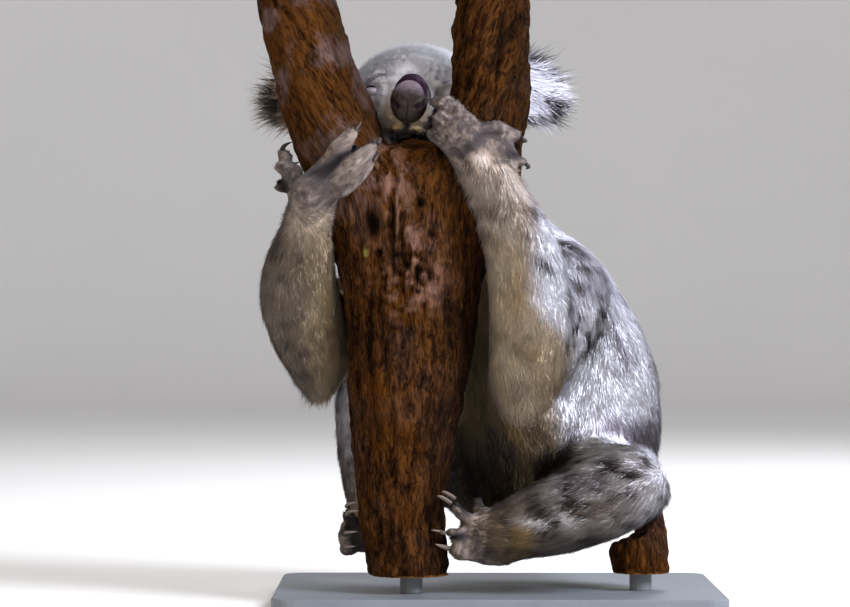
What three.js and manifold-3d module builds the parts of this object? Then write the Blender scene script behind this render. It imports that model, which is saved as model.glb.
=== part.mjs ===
// A life-size koala asleep in the fork of a cut tree trunk, on a plain display stand.
// Millimetres, +Z up. The animal hugs the trunk from behind (+Y) and its chin rests in the fork.
// Left and right are the animal's own: its face looks along -Y, so its left side is at +X.
import * as THREE from "three";
import { mergeVertices } from "three/addons/utils/BufferGeometryUtils.js";
import Module from "manifold-3d";

const wasm = await Module();
wasm.setup();

// ---- driving dimensions ----
const gap = 0.3; // clear space between neighbouring solids

const trunk = {
  bottom: 26, // height of the lower saw cut
  top: 500, // height of the upper saw cuts
  footRadius: 36,
  waistRadius: 43,
  forkHalfWidth: 66,
  forkHalfDepth: 43,
  forkTop: 374, // height of the saddle that carries the chin
  stemRadius: 33,
  stemAt: { left: 66, right: -52 }, // middle of each stem at the height of the hands
};

const seat = { x: 190, y: 24, radius: 25, bottom: 26, top: 60 };

const stand = {
  centre: [75, 60], // middle of the base plate, measured from the foot of the trunk
  length: 360,
  depth: 250,
  thickness: 12,
  cornerRadius: 18,
  edgeRound: 1.5,
  rodRadius: 9,
  rodReach: 22, // how far a rod goes up into the wood
};

const head = {
  at: [10, 78, 407],
  chinUp: 16, // degrees
  lean: 5, // degrees, its right side higher
  turn: 4.5, // degrees, towards its right
  halfWidth: 60,
  halfHeight: 48,
  eyeSpread: 31,
  eyeHeight: -6,
  eyeRadius: 8,
  earAt: { left: [83, 6, 22], right: [-93, 6, 1] }, // middle of the ear, its fringe included
  earSweep: 22, // degrees that its outer end goes back
  earHalfWidth: 46,
  earHalfHeight: 41,
  earHalfDepth: 13,
  earCup: 10, // how far the rim stands forward
  noseHalfWidth: 15,
};

const fingerRadius = 9;
const toeRadius = 8;
const clawLength = 13;
const clawRadius = 2.6;
const joinedClawStep = 3.4; // half the spacing of the two claws on the joined toes

// ---- shapes ----

// Reads a closed three.js geometry as a solid, with its seams merged.
function toSolid(geometry) {
  const bare = geometry.clone();
  bare.deleteAttribute("normal");
  bare.deleteAttribute("uv");
  const merged = mergeVertices(bare, 1e-4);
  return new wasm.Manifold(
    new wasm.Mesh({
      numProp: 3,
      vertProperties: new Float32Array(merged.attributes.position.array),
      triVerts: new Uint32Array(merged.index.array),
    }),
  );
}

// Turns the largest piece of a solid back into a three.js geometry.
function toGeometry(solid) {
  const pieces = solid.decompose().sort((a, b) => b.volume() - a.volume());
  const mesh = pieces[0].getMesh();
  const geometry = new THREE.BufferGeometry();
  geometry.setAttribute("position", new THREE.BufferAttribute(mesh.vertProperties, 3));
  geometry.setIndex(new THREE.BufferAttribute(mesh.triVerts, 1));
  geometry.computeVertexNormals();
  return geometry;
}

// A rounded form along a smooth line. Each station gives the middle of the section and its half
// sizes: across (along acrossAxis) and through. The rings are those of a sphere, so both ends close.
function roundedForm(form, grow = 0) {
  const { stations, acrossAxis = [1, 0, 0], sides, rings, fullness = 0.5 } = form;
  const line = new THREE.CatmullRomCurve3(stations.map((s) => new THREE.Vector3(...s.at)));
  const girth = new THREE.CatmullRomCurve3(stations.map((s) => new THREE.Vector3(s.across, s.through, 0)));
  const wanted = new THREE.Vector3(...acrossAxis);
  const geometry = new THREE.SphereGeometry(1, sides, rings);
  const place = geometry.attributes.position;
  for (let i = 0; i < place.count; i++) {
    const cosine = THREE.MathUtils.clamp(place.getY(i), -1, 1);
    const ringSize = Math.sqrt(Math.max(0, 1 - cosine * cosine));
    const along = (1 - cosine) / 2;
    const centre = line.getPoint(along);
    const tangent = line.getTangent(along);
    const across = wanted.clone().addScaledVector(tangent, -wanted.dot(tangent)).normalize();
    const through = new THREE.Vector3().crossVectors(tangent, across);
    const size = girth.getPoint(along);
    const swell = ringSize > 1e-6 ? ringSize ** (fullness - 1) : 0;
    centre.addScaledVector(across, -place.getX(i) * swell * (size.x + grow));
    centre.addScaledVector(through, place.getZ(i) * swell * (size.y + grow));
    centre.addScaledVector(tangent, -cosine * grow);
    place.setXYZ(i, centre.x, centre.y, centre.z);
  }
  return turnOutward(geometry);
}

// Reverses the faces of a geometry whose volume is negative.
function turnOutward(geometry) {
  const place = geometry.attributes.position;
  const index = geometry.index.array;
  const corner = [0, 1, 2].map(() => new THREE.Vector3());
  let volume = 0;
  for (let i = 0; i < index.length; i += 3) {
    corner.forEach((point, k) => point.fromBufferAttribute(place, index[i + k]));
    volume += corner[0].dot(corner[1].cross(corner[2]));
  }
  if (volume < 0) {
    for (let i = 0; i < index.length; i += 3) {
      [index[i], index[i + 1]] = [index[i + 1], index[i]];
    }
  }
  return geometry;
}

// A limb of round section from joint to joint, with its ends rounded past the joints.
function limb(joints, radii, options = {}) {
  const points = joints.map((joint) => new THREE.Vector3(...joint));
  const last = points.length - 1;
  const reach = options.reach ?? 0.8;
  const startPush = points[0].clone().sub(points[1]).setLength(radii[0] * reach);
  const endPush = points[last].clone().sub(points[last - 1]).setLength(radii[last] * reach);
  points[0].add(startPush);
  points[last].add(endPush);
  const flatten = options.flatten ?? 1;
  const heading = points[last].clone().sub(points[0]).normalize();
  const acrossAxis = Math.abs(heading.x) > 0.7 ? [0, 0, 1] : [1, 0, 0];
  const stations = points.map((point, i) => ({
    at: point.toArray(),
    across: radii[i],
    through: radii[i] * flatten,
  }));
  return { stations, acrossAxis, ...options };
}

// The solid of one or more forms, each grown outward by the same amount, in a given placing.
function joinForms(forms, grow = 0, placing = new THREE.Matrix4()) {
  const solids = forms.map((form) => toSolid(roundedForm(form, grow).applyMatrix4(placing)));
  return solids.reduce((whole, piece) => whole.add(piece));
}

// ---- the cut trunk with its fork ----

const forkForms = [
  {
    stations: [
      { at: [8, 0, -40], across: trunk.footRadius, through: trunk.footRadius },
      { at: [4, 0, 30], across: trunk.footRadius, through: trunk.footRadius },
      { at: [-4, 0, 84], across: 37, through: 37 },
      { at: [-2, 0, 140], across: trunk.waistRadius, through: 41 },
      { at: [4, 0, 210], across: 52, through: 44 },
      { at: [8, 0, 275], across: 60, through: 44 },
      { at: [6, 0, 330], across: trunk.forkHalfWidth, through: trunk.forkHalfDepth },
      { at: [4, 0, trunk.forkTop + 1], across: 60, through: 38 },
    ],
    sides: 16,
    rings: 9,
    fullness: 0.28,
  },
  {
    stations: [
      { at: [-6, 4, 200], across: 34, through: 34 },
      { at: [-25, 2, 285], across: 36, through: 35 },
      { at: [-47, 0, 358], across: 36, through: 35 },
      { at: [-67, 0, 410], across: 36, through: trunk.stemRadius },
      { at: [-83, 0, 468], across: 35, through: trunk.stemRadius },
      { at: [-105, 0, 540], across: 34, through: trunk.stemRadius },
    ],
    sides: 12,
    rings: 7,
    fullness: 0.28,
  },
  {
    stations: [
      { at: [14, 4, 200], across: 36, through: 35 },
      { at: [36, 2, 285], across: 37, through: 36 },
      { at: [58, 0, 350], across: 36, through: 35 },
      { at: [68, 0, 405], across: 33, through: trunk.stemRadius },
      { at: [69, 0, 465], across: 33, through: trunk.stemRadius },
      { at: [70, 0, 540], across: 33, through: trunk.stemRadius },
    ],
    sides: 14,
    rings: 7,
    fullness: 0.28,
  },
];

// ---- the animal's body ----

const torsoForms = [
  {
    stations: [
      { at: [60, 118, 336], across: 46, through: 44 },
      { at: [80, 118, 284], across: 70, through: 60 },
      { at: [108, 114, 228], across: 85, through: 72 },
      { at: [122, 108, 165], across: 100, through: 80 },
      { at: [122, 104, 100], across: 102, through: 80 },
      { at: [114, 98, 36], across: 76, through: 68 },
    ],
    sides: 18,
    rings: 11,
    fullness: 0.5,
  },
  {
    stations: [
      { at: [100, 76, 292], across: 40, through: 36 },
      { at: [106, 72, 240], across: 50, through: 42 },
      { at: [116, 66, 186], across: 50, through: 44 },
      { at: [122, 66, 132], across: 40, through: 34 },
    ],
    sides: 12,
    rings: 7,
    fullness: 0.5,
  },
];

const neckForms = [
  {
    stations: [
      { at: [13, 96, 424], across: 46, through: 40 },
      { at: [27, 108, 370], across: 56, through: 50 },
      { at: [56, 116, 308], across: 70, through: 60 },
      { at: [80, 116, 264], across: 60, through: 52 },
    ],
    sides: 12,
    rings: 6,
    fullness: 0.4,
  },
];

// ---- the head, in a frame of its own: -Y to the nose, origin between the ears ----

const headPlacing = new THREE.Matrix4()
  .makeTranslation(...head.at)
  .multiply(new THREE.Matrix4().makeRotationZ(THREE.MathUtils.degToRad(-head.turn)))
  .multiply(new THREE.Matrix4().makeRotationY(THREE.MathUtils.degToRad(head.lean)))
  .multiply(new THREE.Matrix4().makeRotationX(THREE.MathUtils.degToRad(-head.chinUp)));

const cheekForm = (side) => ({
  stations: [
    { at: [side * 20, -52, -22], across: 20, through: 20 },
    { at: [side * 30, -30, -20], across: 26, through: 24 },
    { at: [side * 34, 0, -16], across: 27, through: 26 },
    { at: [side * 28, 34, -10], across: 24, through: 24 },
  ],
  sides: 8,
  rings: 5,
});

const browForm = (side) => ({
  stations: [
    { at: [side * 30, -34, 10], across: 17, through: 20 },
    { at: [side * 34, -4, 14], across: 23, through: 24 },
    { at: [side * 32, 30, 14], across: 20, through: 22 },
  ],
  sides: 8,
  rings: 5,
});

const headForms = [
  {
    stations: [
      { at: [0, 60, 2], across: 36, through: 30 },
      { at: [0, 30, 4], across: 54, through: 43 },
      { at: [0, 0, 4], across: head.halfWidth, through: head.halfHeight },
      { at: [0, -30, 1], across: 49, through: 42 },
      { at: [0, -62, -10], across: 31, through: 28 },
    ],
    sides: 16,
    rings: 7,
    fullness: 0.5,
  },
  {
    stations: [
      { at: [0, -26, -18], across: 33, through: 31 },
      { at: [0, -52, -22], across: 27, through: 27 },
      { at: [0, -72, -27], across: 22.5, through: 23 },
      { at: [0, -89, -30], across: 18, through: 18 },
    ],
    sides: 10,
    rings: 6,
    fullness: 0.42,
  },
  {
    stations: [
      { at: [0, -14, -30], across: 30, through: 18 },
      { at: [0, -45, -42], across: 21, through: 13 },
      { at: [0, -80, -50], across: 14, through: 9 },
    ],
    sides: 8,
    rings: 5,
  },
  cheekForm(1),
  cheekForm(-1),
  browForm(1),
  browForm(-1),
];

const noseForms = [
  {
    stations: [
      { at: [1, -84, -45], across: 11, through: 7 },
      { at: [1, -89, -37], across: head.noseHalfWidth, through: 8 },
      { at: [1, -88, -24], across: head.noseHalfWidth, through: 8 },
      { at: [1, -82, -11], across: 13.5, through: 7.5 },
      { at: [1, -72, -1], across: 10.5, through: 6 },
    ],
    sides: 12,
    rings: 8,
    fullness: 0.55,
  },
];

function eyeForms(side) {
  const radius = head.eyeRadius;
  const stations = [-radius, 0, radius].map((rise) => ({
    at: [side * head.eyeSpread, -46, head.eyeHeight + rise],
    across: radius,
    through: radius,
  }));
  return [{ stations, sides: 8, rings: 6, fullness: 1 }];
}

// An ear is a shallow cup: a flattened ball whose rim comes forward. Its inner side runs into the head.
function earSolid(side, grow) {
  const sweep = side === "left" ? head.earSweep : -head.earSweep;
  const geometry = new THREE.SphereGeometry(1, 16, 8);
  const place = geometry.attributes.position;
  for (let i = 0; i < place.count; i++) {
    const x = place.getX(i);
    const z = place.getZ(i);
    const rim = x * x + z * z;
    place.setXYZ(
      i,
      x * (head.earHalfWidth + grow),
      place.getY(i) * (head.earHalfDepth + grow) - head.earCup * rim,
      z * (head.earHalfHeight + grow),
    );
  }
  geometry.rotateZ(THREE.MathUtils.degToRad(sweep));
  geometry.translate(...head.earAt[side]);
  return toSolid(turnOutward(geometry).applyMatrix4(headPlacing));
}

// ---- arms and legs ----
// left is at +X. Joints run shoulder, elbow, wrist and hip, knee, ankle.

const arms = {
  left: {
    upper: limb([[122, 98, 262], [124, 48, 250], [110, 2, 198]], [46, 45, 37], { sides: 13, rings: 7 }),
    fore: limb([[92, -16, 187], [99, -30, 262], [57, -34, 357]], [42, 35, 24], { sides: 14, rings: 8 }),
  },
  right: {
    upper: limb([[4, 108, 262], [-42, 80, 234], [-70, 48, 208]], [46, 40, 33], { sides: 13, rings: 7 }),
    fore: limb([[-70, 42, 198], [-85, 10, 250], [-76, -20, 306]], [37, 37, 26], { sides: 14, rings: 8 }),
  },
};

const legs = {
  left: {
    thigh: limb([[146, 70, 88], [163, 26, 92], [179, -12, 100]], [52, 44, 39], { sides: 12, rings: 7 }),
    shank: limb([[181, -20, 99], [130, -22, 78], [80, -14, 62]], [42, 36.5, 29], { sides: 14, rings: 8 }),
  },
  right: {
    thigh: limb([[76, 118, 96], [24, 118, 132], [-25, 110, 161]], [62, 50, 37], { sides: 13, rings: 7 }),
    shank: limb([[-29, 106, 163], [-23, 80, 114], [-25, 50, 68]], [43, 36, 27], { sides: 14, rings: 8 }),
  },
};

// ---- hands and feet ----
// Digits 1 and 2 of a hand are opposed to the other three. On a foot the first is a clawless thumb
// and the second and third are joined, with two claws. Each digit: root, middle joint, tip.

const hands = {
  left: {
    palm: limb([[56, -33, 357], [43, -42, 377]], [22, 22], { flatten: 0.72, sides: 10, rings: 5 }),
    digits: [
      [[54, -44, 378], [74, -42, 380], [91, -28, 374]],
      [[60, -42, 364], [81, -39, 362], [95, -24, 354]],
      [[44, -45, 392], [32, -40, 400], [24, -24, 402]],
      [[38, -46, 382], [28, -41, 388], [22, -25, 388]],
      [[36, -44, 372], [28, -42, 375], [22, -30, 376]],
    ],
  },
  right: {
    palm: limb([[-76, -20, 308], [-73, -34, 330]], [23, 23], { flatten: 0.72, sides: 10, rings: 5 }),
    digits: [
      [[-84, -26, 334], [-98, -13, 352], [-98, 4, 366]],
      [[-86, -20, 324], [-99, -4, 337], [-94, 14, 351]],
      [[-74, -34, 342], [-55, -43, 363], [-40, -37, 379]],
      [[-60, -42, 338], [-41, -45, 355], [-23, -33, 369]],
      [[-54, -44, 328], [-39, -47, 341], [-26, -43, 354]],
    ],
  },
};

const feet = {
  left: {
    sole: limb([[78, -12, 58], [58, -14, 56]], [28, 22], { flatten: 0.85, sides: 10, rings: 5 }),
    digits: [
      [[64, -8, 68], [60, -4, 78], [58, 2, 86]],
      [[54, -18, 66], [46, -22, 76], [39, -23, 84]],
      [[52, -20, 56], [42, -26, 59], [34, -27, 61]],
      [[54, -18, 44], [44, -24, 45], [37, -25, 48]],
    ],
  },
  right: {
    sole: limb([[-26, 49, 60], [-39, 30, 56]], [25, 20], { flatten: 0.85, sides: 10, rings: 5 }),
    digits: [
      [[-34, 33, 68], [-28, 33, 80], [-24, 37, 88]],
      [[-42, 22, 66], [-47, 10, 72], [-46, -2, 77]],
      [[-43, 20, 56], [-49, 7, 58], [-47, -6, 60]],
      [[-42, 22, 45], [-47, 10, 46], [-47, -2, 48]],
    ],
  },
};

function digitForm(points, radius) {
  return limb(points, [radius * 1.1, radius, radius * 0.86], { sides: 7, rings: 4, reach: 0.5 });
}

// A claw leaves the tip of a digit and bends towards the bark.
function clawForm([, middle, tip], towards, sideStep = 0) {
  const start = new THREE.Vector3(...tip);
  const ahead = start.clone().sub(new THREE.Vector3(...middle)).normalize();
  const inward = new THREE.Vector3(...towards).sub(start).normalize();
  const sideways = new THREE.Vector3().crossVectors(ahead, inward).normalize();
  start.addScaledVector(sideways, sideStep).addScaledVector(ahead, toeRadius * 0.4);
  const bend = start.clone().addScaledVector(ahead, clawLength * 0.5);
  bend.addScaledVector(inward, clawLength * 0.15);
  const point = bend.clone().addScaledVector(ahead, clawLength * 0.1);
  point.addScaledVector(inward, clawLength * 0.6);
  return {
    stations: [
      { at: start.toArray(), across: clawRadius, through: clawRadius },
      { at: bend.toArray(), across: clawRadius * 0.8, through: clawRadius * 0.8 },
      { at: point.toArray(), across: clawRadius * 0.35, through: clawRadius * 0.35 },
    ],
    sides: 4,
    rings: 4,
    fullness: 0.5,
  };
}

// ---- the stand ----

function basePlate() {
  const { length, depth, thickness, cornerRadius, edgeRound } = stand;
  const halfLength = length / 2 - edgeRound;
  const halfDepth = depth / 2 - edgeRound;
  const radius = cornerRadius - edgeRound;
  const outline = new THREE.Shape();
  outline.moveTo(radius - halfLength, -halfDepth);
  outline.lineTo(halfLength - radius, -halfDepth);
  outline.absarc(halfLength - radius, radius - halfDepth, radius, -Math.PI / 2, 0);
  outline.absarc(halfLength - radius, halfDepth - radius, radius, 0, Math.PI / 2);
  outline.absarc(radius - halfLength, halfDepth - radius, radius, Math.PI / 2, Math.PI);
  outline.absarc(radius - halfLength, radius - halfDepth, radius, Math.PI, 1.5 * Math.PI);
  const geometry = new THREE.ExtrudeGeometry(outline, {
    depth: thickness - 2 * edgeRound,
    bevelSize: edgeRound,
    bevelThickness: edgeRound,
    bevelSegments: 1,
    curveSegments: 3,
  });
  return geometry.translate(stand.centre[0], stand.centre[1], edgeRound);
}

function rodGeometry([x, y], top, grow = 0) {
  const foot = stand.thickness + gap - 2 * grow;
  const tip = top + grow;
  const radius = stand.rodRadius + grow;
  const rod = new THREE.CylinderGeometry(radius, radius, tip - foot, 16);
  return rod.rotateX(Math.PI / 2).translate(x, y, (tip + foot) / 2);
}

function boxSolid(low, high) {
  const size = high.map((value, i) => value - low[i]);
  const box = new THREE.BoxGeometry(...size);
  return toSolid(box.translate(...low.map((value, i) => value + size[i] / 2)));
}

const sawBlock = 400; // half size of the blocks that make the saw cuts
const rods = {
  stand_rod_trunk: { at: [5, 0], top: trunk.bottom + stand.rodReach },
  stand_rod_seat: { at: [seat.x, seat.y], top: seat.bottom + stand.rodReach * 0.6 },
};

function seatSolid() {
  const form = {
    stations: [
      { at: [seat.x + 2, seat.y - 6, -10], across: seat.radius, through: seat.radius },
      { at: [seat.x, seat.y, 30], across: seat.radius, through: seat.radius },
      { at: [seat.x - 4, seat.y + 8, seat.top + 30], across: seat.radius, through: seat.radius },
    ],
    sides: 12,
    rings: 5,
    fullness: 0.3,
  };
  const below = boxSolid([-sawBlock, -sawBlock, -sawBlock], [sawBlock, sawBlock, seat.bottom]);
  return joinForms([form]).subtract(below);
}

function trunkSolid() {
  return joinForms(forkForms)
    .subtract(boxSolid([-sawBlock, -sawBlock, -sawBlock], [sawBlock, sawBlock, trunk.bottom]))
    .subtract(boxSolid([-sawBlock, -sawBlock, trunk.top], [sawBlock, sawBlock, sawBlock * 2]));
}

// ---- the list of parts, in the order in which they keep their shape ----
// Each part gives way to those before it: their shapes, grown by the gap, are cut out of it.

const fur = { color: 0xb3adb2, roughness: 0.95, metalness: 0 };
const paleFur = { color: 0xd8d0cc, roughness: 0.95, metalness: 0 };
const handFur = { color: 0x9a948f, roughness: 0.95, metalness: 0 };
const leather = { color: 0x4a3f42, roughness: 0.5, metalness: 0 };
const wetEye = { color: 0x2a1c16, roughness: 0.1, metalness: 0 };
const horn = { color: 0x2c2624, roughness: 0.4, metalness: 0 };
const bark = { color: 0x7a4a2c, roughness: 0.9, metalness: 0 };
const paintedSteel = { color: 0x3a3c3f, roughness: 0.55, metalness: 0 };

const parts = [];

function addPart(name, material, make) {
  parts.push({ name, material, make });
}

function addFlesh(name, material, forms, placing) {
  addPart(name, material, (grow) => joinForms(forms, grow, placing));
}

addPart("stand_base", paintedSteel, () => toSolid(basePlate()));
for (const [name, rod] of Object.entries(rods)) {
  addPart(name, paintedSteel, (grow) => toSolid(rodGeometry(rod.at, rod.top, grow)));
}
addPart("perch_trunk", bark, (grow) => (grow ? joinForms(forkForms, grow) : trunkSolid()));

for (const [side, sign] of [["left", 1], ["right", -1]]) {
  addFlesh(`eye_${side}`, wetEye, eyeForms(sign), headPlacing);
}
addFlesh("nose", leather, noseForms, headPlacing);
addFlesh("head", fur, headForms, headPlacing);
addFlesh("torso", fur, torsoForms);
addFlesh("neck", fur, neckForms);
for (const side of ["left", "right"]) {
  const fingers = hands[side].digits.map((points) => digitForm(points, fingerRadius));
  const toes = feet[side].digits.map((points) => digitForm(points, toeRadius));
  addPart(`ear_${side}`, paleFur, (grow) => earSolid(side, grow));
  addFlesh(`forearm_${side}`, fur, [arms[side].fore]);
  addFlesh(`upper_arm_${side}`, fur, [arms[side].upper]);
  addFlesh(`hand_${side}`, handFur, [hands[side].palm, ...fingers]);
  addFlesh(`shank_${side}`, fur, [legs[side].shank]);
  addFlesh(`thigh_${side}`, fur, [legs[side].thigh]);
  addFlesh(`foot_${side}`, handFur, [feet[side].sole, ...toes]);
}
addPart("perch_seat", bark, () => seatSolid());

// A claw bends towards the middle of the wood that its digit grips, at the height of the tip.
function handClaw(digit, side) {
  return clawForm(digit, [trunk.stemAt[side], 0, digit[2][2]]);
}

function footClaw(digit, sideStep = 0) {
  return clawForm(digit, [0, 0, digit[2][2]], sideStep);
}

for (const side of ["left", "right"]) {
  const [, joined, ...single] = feet[side].digits;
  const footClaws = [
    footClaw(joined, joinedClawStep),
    footClaw(joined, -joinedClawStep),
    ...single.map((digit) => footClaw(digit)),
  ];
  const handClaws = hands[side].digits.map((digit) => handClaw(digit, side));
  handClaws.forEach((form, i) => addFlesh(`claw_hand_${side}_${i + 1}`, horn, [form]));
  footClaws.forEach((form, i) => addFlesh(`claw_foot_${side}_${i + 2}`, horn, [form]));
}

// ---- cutting and assembly ----

function boxesMeet(a, b) {
  return [0, 1, 2].every((k) => a.min[k] < b.max[k] && b.min[k] < a.max[k]);
}

const koala = new THREE.Group();
koala.position.set(-stand.centre[0], -stand.centre[1], 0);

const placed = [];
for (const { name, material, make } of parts) {
  let solid = make(0);
  const reach = solid.boundingBox();
  for (const earlier of placed) {
    if (boxesMeet(reach, earlier.reach)) {
      solid = solid.subtract(earlier.grown);
    }
  }
  const grown = make(gap);
  placed.push({ grown, reach: grown.boundingBox() });
  const mesh = new THREE.Mesh(toGeometry(solid), new THREE.MeshStandardMaterial(material));
  mesh.name = name;
  koala.add(mesh);
}

export default koala;
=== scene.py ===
import math

import bmesh
import bpy
import numpy as np
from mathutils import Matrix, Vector
from mathutils.bvhtree import BVHTree
from mathutils.kdtree import KDTree


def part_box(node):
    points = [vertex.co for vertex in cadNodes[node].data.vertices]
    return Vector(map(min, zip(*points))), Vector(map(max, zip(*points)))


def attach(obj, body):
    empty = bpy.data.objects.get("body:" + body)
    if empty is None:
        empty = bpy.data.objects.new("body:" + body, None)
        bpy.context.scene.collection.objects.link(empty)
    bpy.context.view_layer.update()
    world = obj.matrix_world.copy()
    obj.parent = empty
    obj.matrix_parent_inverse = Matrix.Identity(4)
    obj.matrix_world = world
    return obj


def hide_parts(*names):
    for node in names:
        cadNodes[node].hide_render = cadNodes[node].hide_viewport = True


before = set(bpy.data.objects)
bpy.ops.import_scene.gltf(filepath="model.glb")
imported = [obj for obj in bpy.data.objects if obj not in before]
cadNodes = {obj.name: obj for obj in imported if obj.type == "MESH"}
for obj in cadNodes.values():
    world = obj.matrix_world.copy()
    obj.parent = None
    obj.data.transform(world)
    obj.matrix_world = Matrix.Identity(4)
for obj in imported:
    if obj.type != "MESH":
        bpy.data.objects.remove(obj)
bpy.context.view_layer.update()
dice = np.random.default_rng(41)  # a fixed seed, so that every run grows the same coat
print("frame loaded:", len(cadNodes), "nodes")


def hexColour(text):
    # an sRGB hex value as linear light, which is what the shaders take
    channels = [int(text[i:i + 2], 16) / 255 for i in (1, 3, 5)]
    linear = [c / 12.92 if c <= 0.04045 else ((c + 0.055) / 1.055) ** 2.4 for c in channels]
    return (*linear, 1.0)


def boxOf(node):
    low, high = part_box(node)
    return np.array(low), np.array(high)


def centreOf(node):
    low, high = boxOf(node)
    return (low + high) / 2


def unit(vectors):
    size = np.linalg.norm(vectors, axis=-1, keepdims=True)
    return vectors / np.maximum(size, 1e-12)


def smoothStep(low, high, values):
    part = np.clip((values - low) / (high - low), 0, 1)
    return part * part * (3 - 2 * part)


def softNoise(points, size, seed=0):
    # smooth noise from -1 to 1, with lumps about size metres across; size may be one number or three
    cell = points / np.asarray(size, float)
    base = np.floor(cell).astype(np.int64)
    part = cell - base
    part = part * part * (3 - 2 * part)
    total = np.zeros(len(points))
    for corner in range(8):
        step = np.array([corner & 1, corner >> 1 & 1, corner >> 2 & 1])
        key = (base + step) @ np.array([73856093, 19349663, 83492791]) + seed * 9176213
        key = (key ^ (key >> 13)) * 1274126177
        key = (key ^ (key >> 16)) & 65535
        weight = np.prod(np.where(step, part, 1 - part), axis=1)
        total += weight * (key / 32767.5 - 1)
    return total


def bump(values, middle, width):
    return np.exp(-((values - middle) / width) ** 2)


def inBox(points, name):
    # places as shares of a CAD node's box
    low, high = boxOf(name)
    return (points - low) / (high - low)


def newObject(name, points, corners, sides, smooth=True):
    # corners lists the corner indices of all faces, sides how many each face has
    mesh = bpy.data.meshes.new(name)
    mesh.vertices.add(len(points))
    mesh.vertices.foreach_set("co", np.asarray(points, np.float32).ravel())
    mesh.loops.add(len(corners))
    mesh.loops.foreach_set("vertex_index", np.asarray(corners, np.int32))
    mesh.polygons.add(len(sides))
    starts = np.cumsum(sides) - sides
    mesh.polygons.foreach_set("loop_start", starts.astype(np.int32))
    mesh.polygons.foreach_set("use_smooth", np.full(len(sides), smooth))
    mesh.update(calc_edges=True)
    obj = bpy.data.objects.new(name, mesh)
    bpy.context.scene.collection.objects.link(obj)
    return obj


def readMesh(mesh):
    points = np.empty(len(mesh.vertices) * 3, np.float32)
    mesh.vertices.foreach_get("co", points)
    corners = np.empty(len(mesh.loops), np.int32)
    mesh.loops.foreach_get("vertex_index", corners)
    sides = np.empty(len(mesh.polygons), np.int32)
    mesh.polygons.foreach_get("loop_total", sides)
    return points.reshape(-1, 3).astype(float), corners, sides


def cadPoints(name):
    return readMesh(cadNodes[name].data)[0]


def readEdges(mesh):
    edges = np.empty(len(mesh.edges) * 2, np.int32)
    mesh.edges.foreach_get("vertices", edges)
    return edges.reshape(-1, 2)


def writePoints(mesh, points):
    mesh.vertices.foreach_set("co", points.astype(np.float32).ravel())
    mesh.update()


def addMark(mesh, name, values):
    # a named number or vector at each point, which a material can read
    values = np.asarray(values, np.float32)
    kind, field = ("FLOAT_VECTOR", "vector") if values.ndim == 2 else ("FLOAT", "value")
    attribute = mesh.attributes.new(name, kind, "POINT")
    attribute.data.foreach_set(field, values.ravel())


def gridCorners(rows, columns, closed):
    # quads of a grid of points, row after row; closed joins the last column to the first
    across = columns if closed else columns - 1
    row, column = np.meshgrid(np.arange(rows - 1), np.arange(across), indexing="ij")
    following = (column + 1) % columns
    quads = [row * columns + column, row * columns + following,
             (row + 1) * columns + following, (row + 1) * columns + column]
    return np.stack(quads, axis=-1).reshape(-1)


def gridObject(name, points, rows, columns, closed, caps=False, smooth=True):
    corners = gridCorners(rows, columns, closed)
    sides = np.full(len(corners) // 4, 4)
    if caps:
        first = np.arange(columns)[::-1]
        last = np.arange(columns) + (rows - 1) * columns
        corners = np.concatenate([corners, first, last])
        sides = np.concatenate([sides, [columns, columns]])
    return newObject(name, points, corners, sides, smooth)


def faceOutward(obj):
    bm = bmesh.new()
    bm.from_mesh(obj.data)
    bmesh.ops.recalc_face_normals(bm, faces=bm.faces)
    bm.to_mesh(obj.data)
    bm.free()


def place(obj, material, replaced=()):
    obj.data.materials.clear()
    obj.data.materials.append(material)
    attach(obj, "root")
    if replaced:
        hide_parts(*replaced)
    return obj


class Surface:
    # the points of a mesh with what is needed to smooth values over them

    def __init__(self, mesh):
        self.points, self.corners, self.sides = readMesh(mesh)
        ends = readEdges(mesh)
        ends = np.concatenate([ends, ends[:, ::-1]])
        ends = ends[np.argsort(ends[:, 0], kind="stable")]
        count = len(self.points)
        self.degree = np.bincount(ends[:, 0], minlength=count)
        start = np.cumsum(self.degree) - self.degree
        column = np.arange(len(ends)) - start[ends[:, 0]]
        self.table = np.zeros((count, self.degree.max()), np.int64)
        self.known = np.zeros(self.table.shape)
        self.table[ends[:, 0], column] = ends[:, 1]
        self.known[ends[:, 0], column] = 1

    def around(self, values):
        total = (values[self.table] * self.known[..., None]).sum(1)
        return total / np.maximum(self.degree, 1)[:, None]

    def spread(self, values, rounds):
        flat = values.reshape(len(values), -1)
        for _ in range(rounds):
            flat = flat * 0.4 + self.around(flat) * 0.6
        return flat.reshape(values.shape)

    def relax(self, rounds, steps=(0.6,)):
        # smooths each point for its own number of rounds; a negative step after it keeps thin forms full
        for turn in range(int(np.ceil(rounds.max()))):
            share = np.clip(rounds - turn, 0, 1)[:, None]
            for step in steps:
                self.points += share * step * (self.around(self.points) - self.points)

    def normals(self):
        starts = np.cumsum(self.sides) - self.sides
        a = self.points[self.corners[starts]]
        b = self.points[self.corners[starts + 1]]
        c = self.points[self.corners[starts + 2]]
        d = self.points[self.corners[starts + self.sides - 1]]
        facing = np.cross(c - a, d - b)
        facing[self.sides == 3] = np.cross(b - a, c - a)[self.sides == 3]
        total = np.zeros_like(self.points)
        owner = np.repeat(np.arange(len(self.sides)), self.sides)
        for axis in range(3):
            total[:, axis] = np.bincount(self.corners, facing[owner, axis], len(self.points))
        return unit(total)


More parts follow.
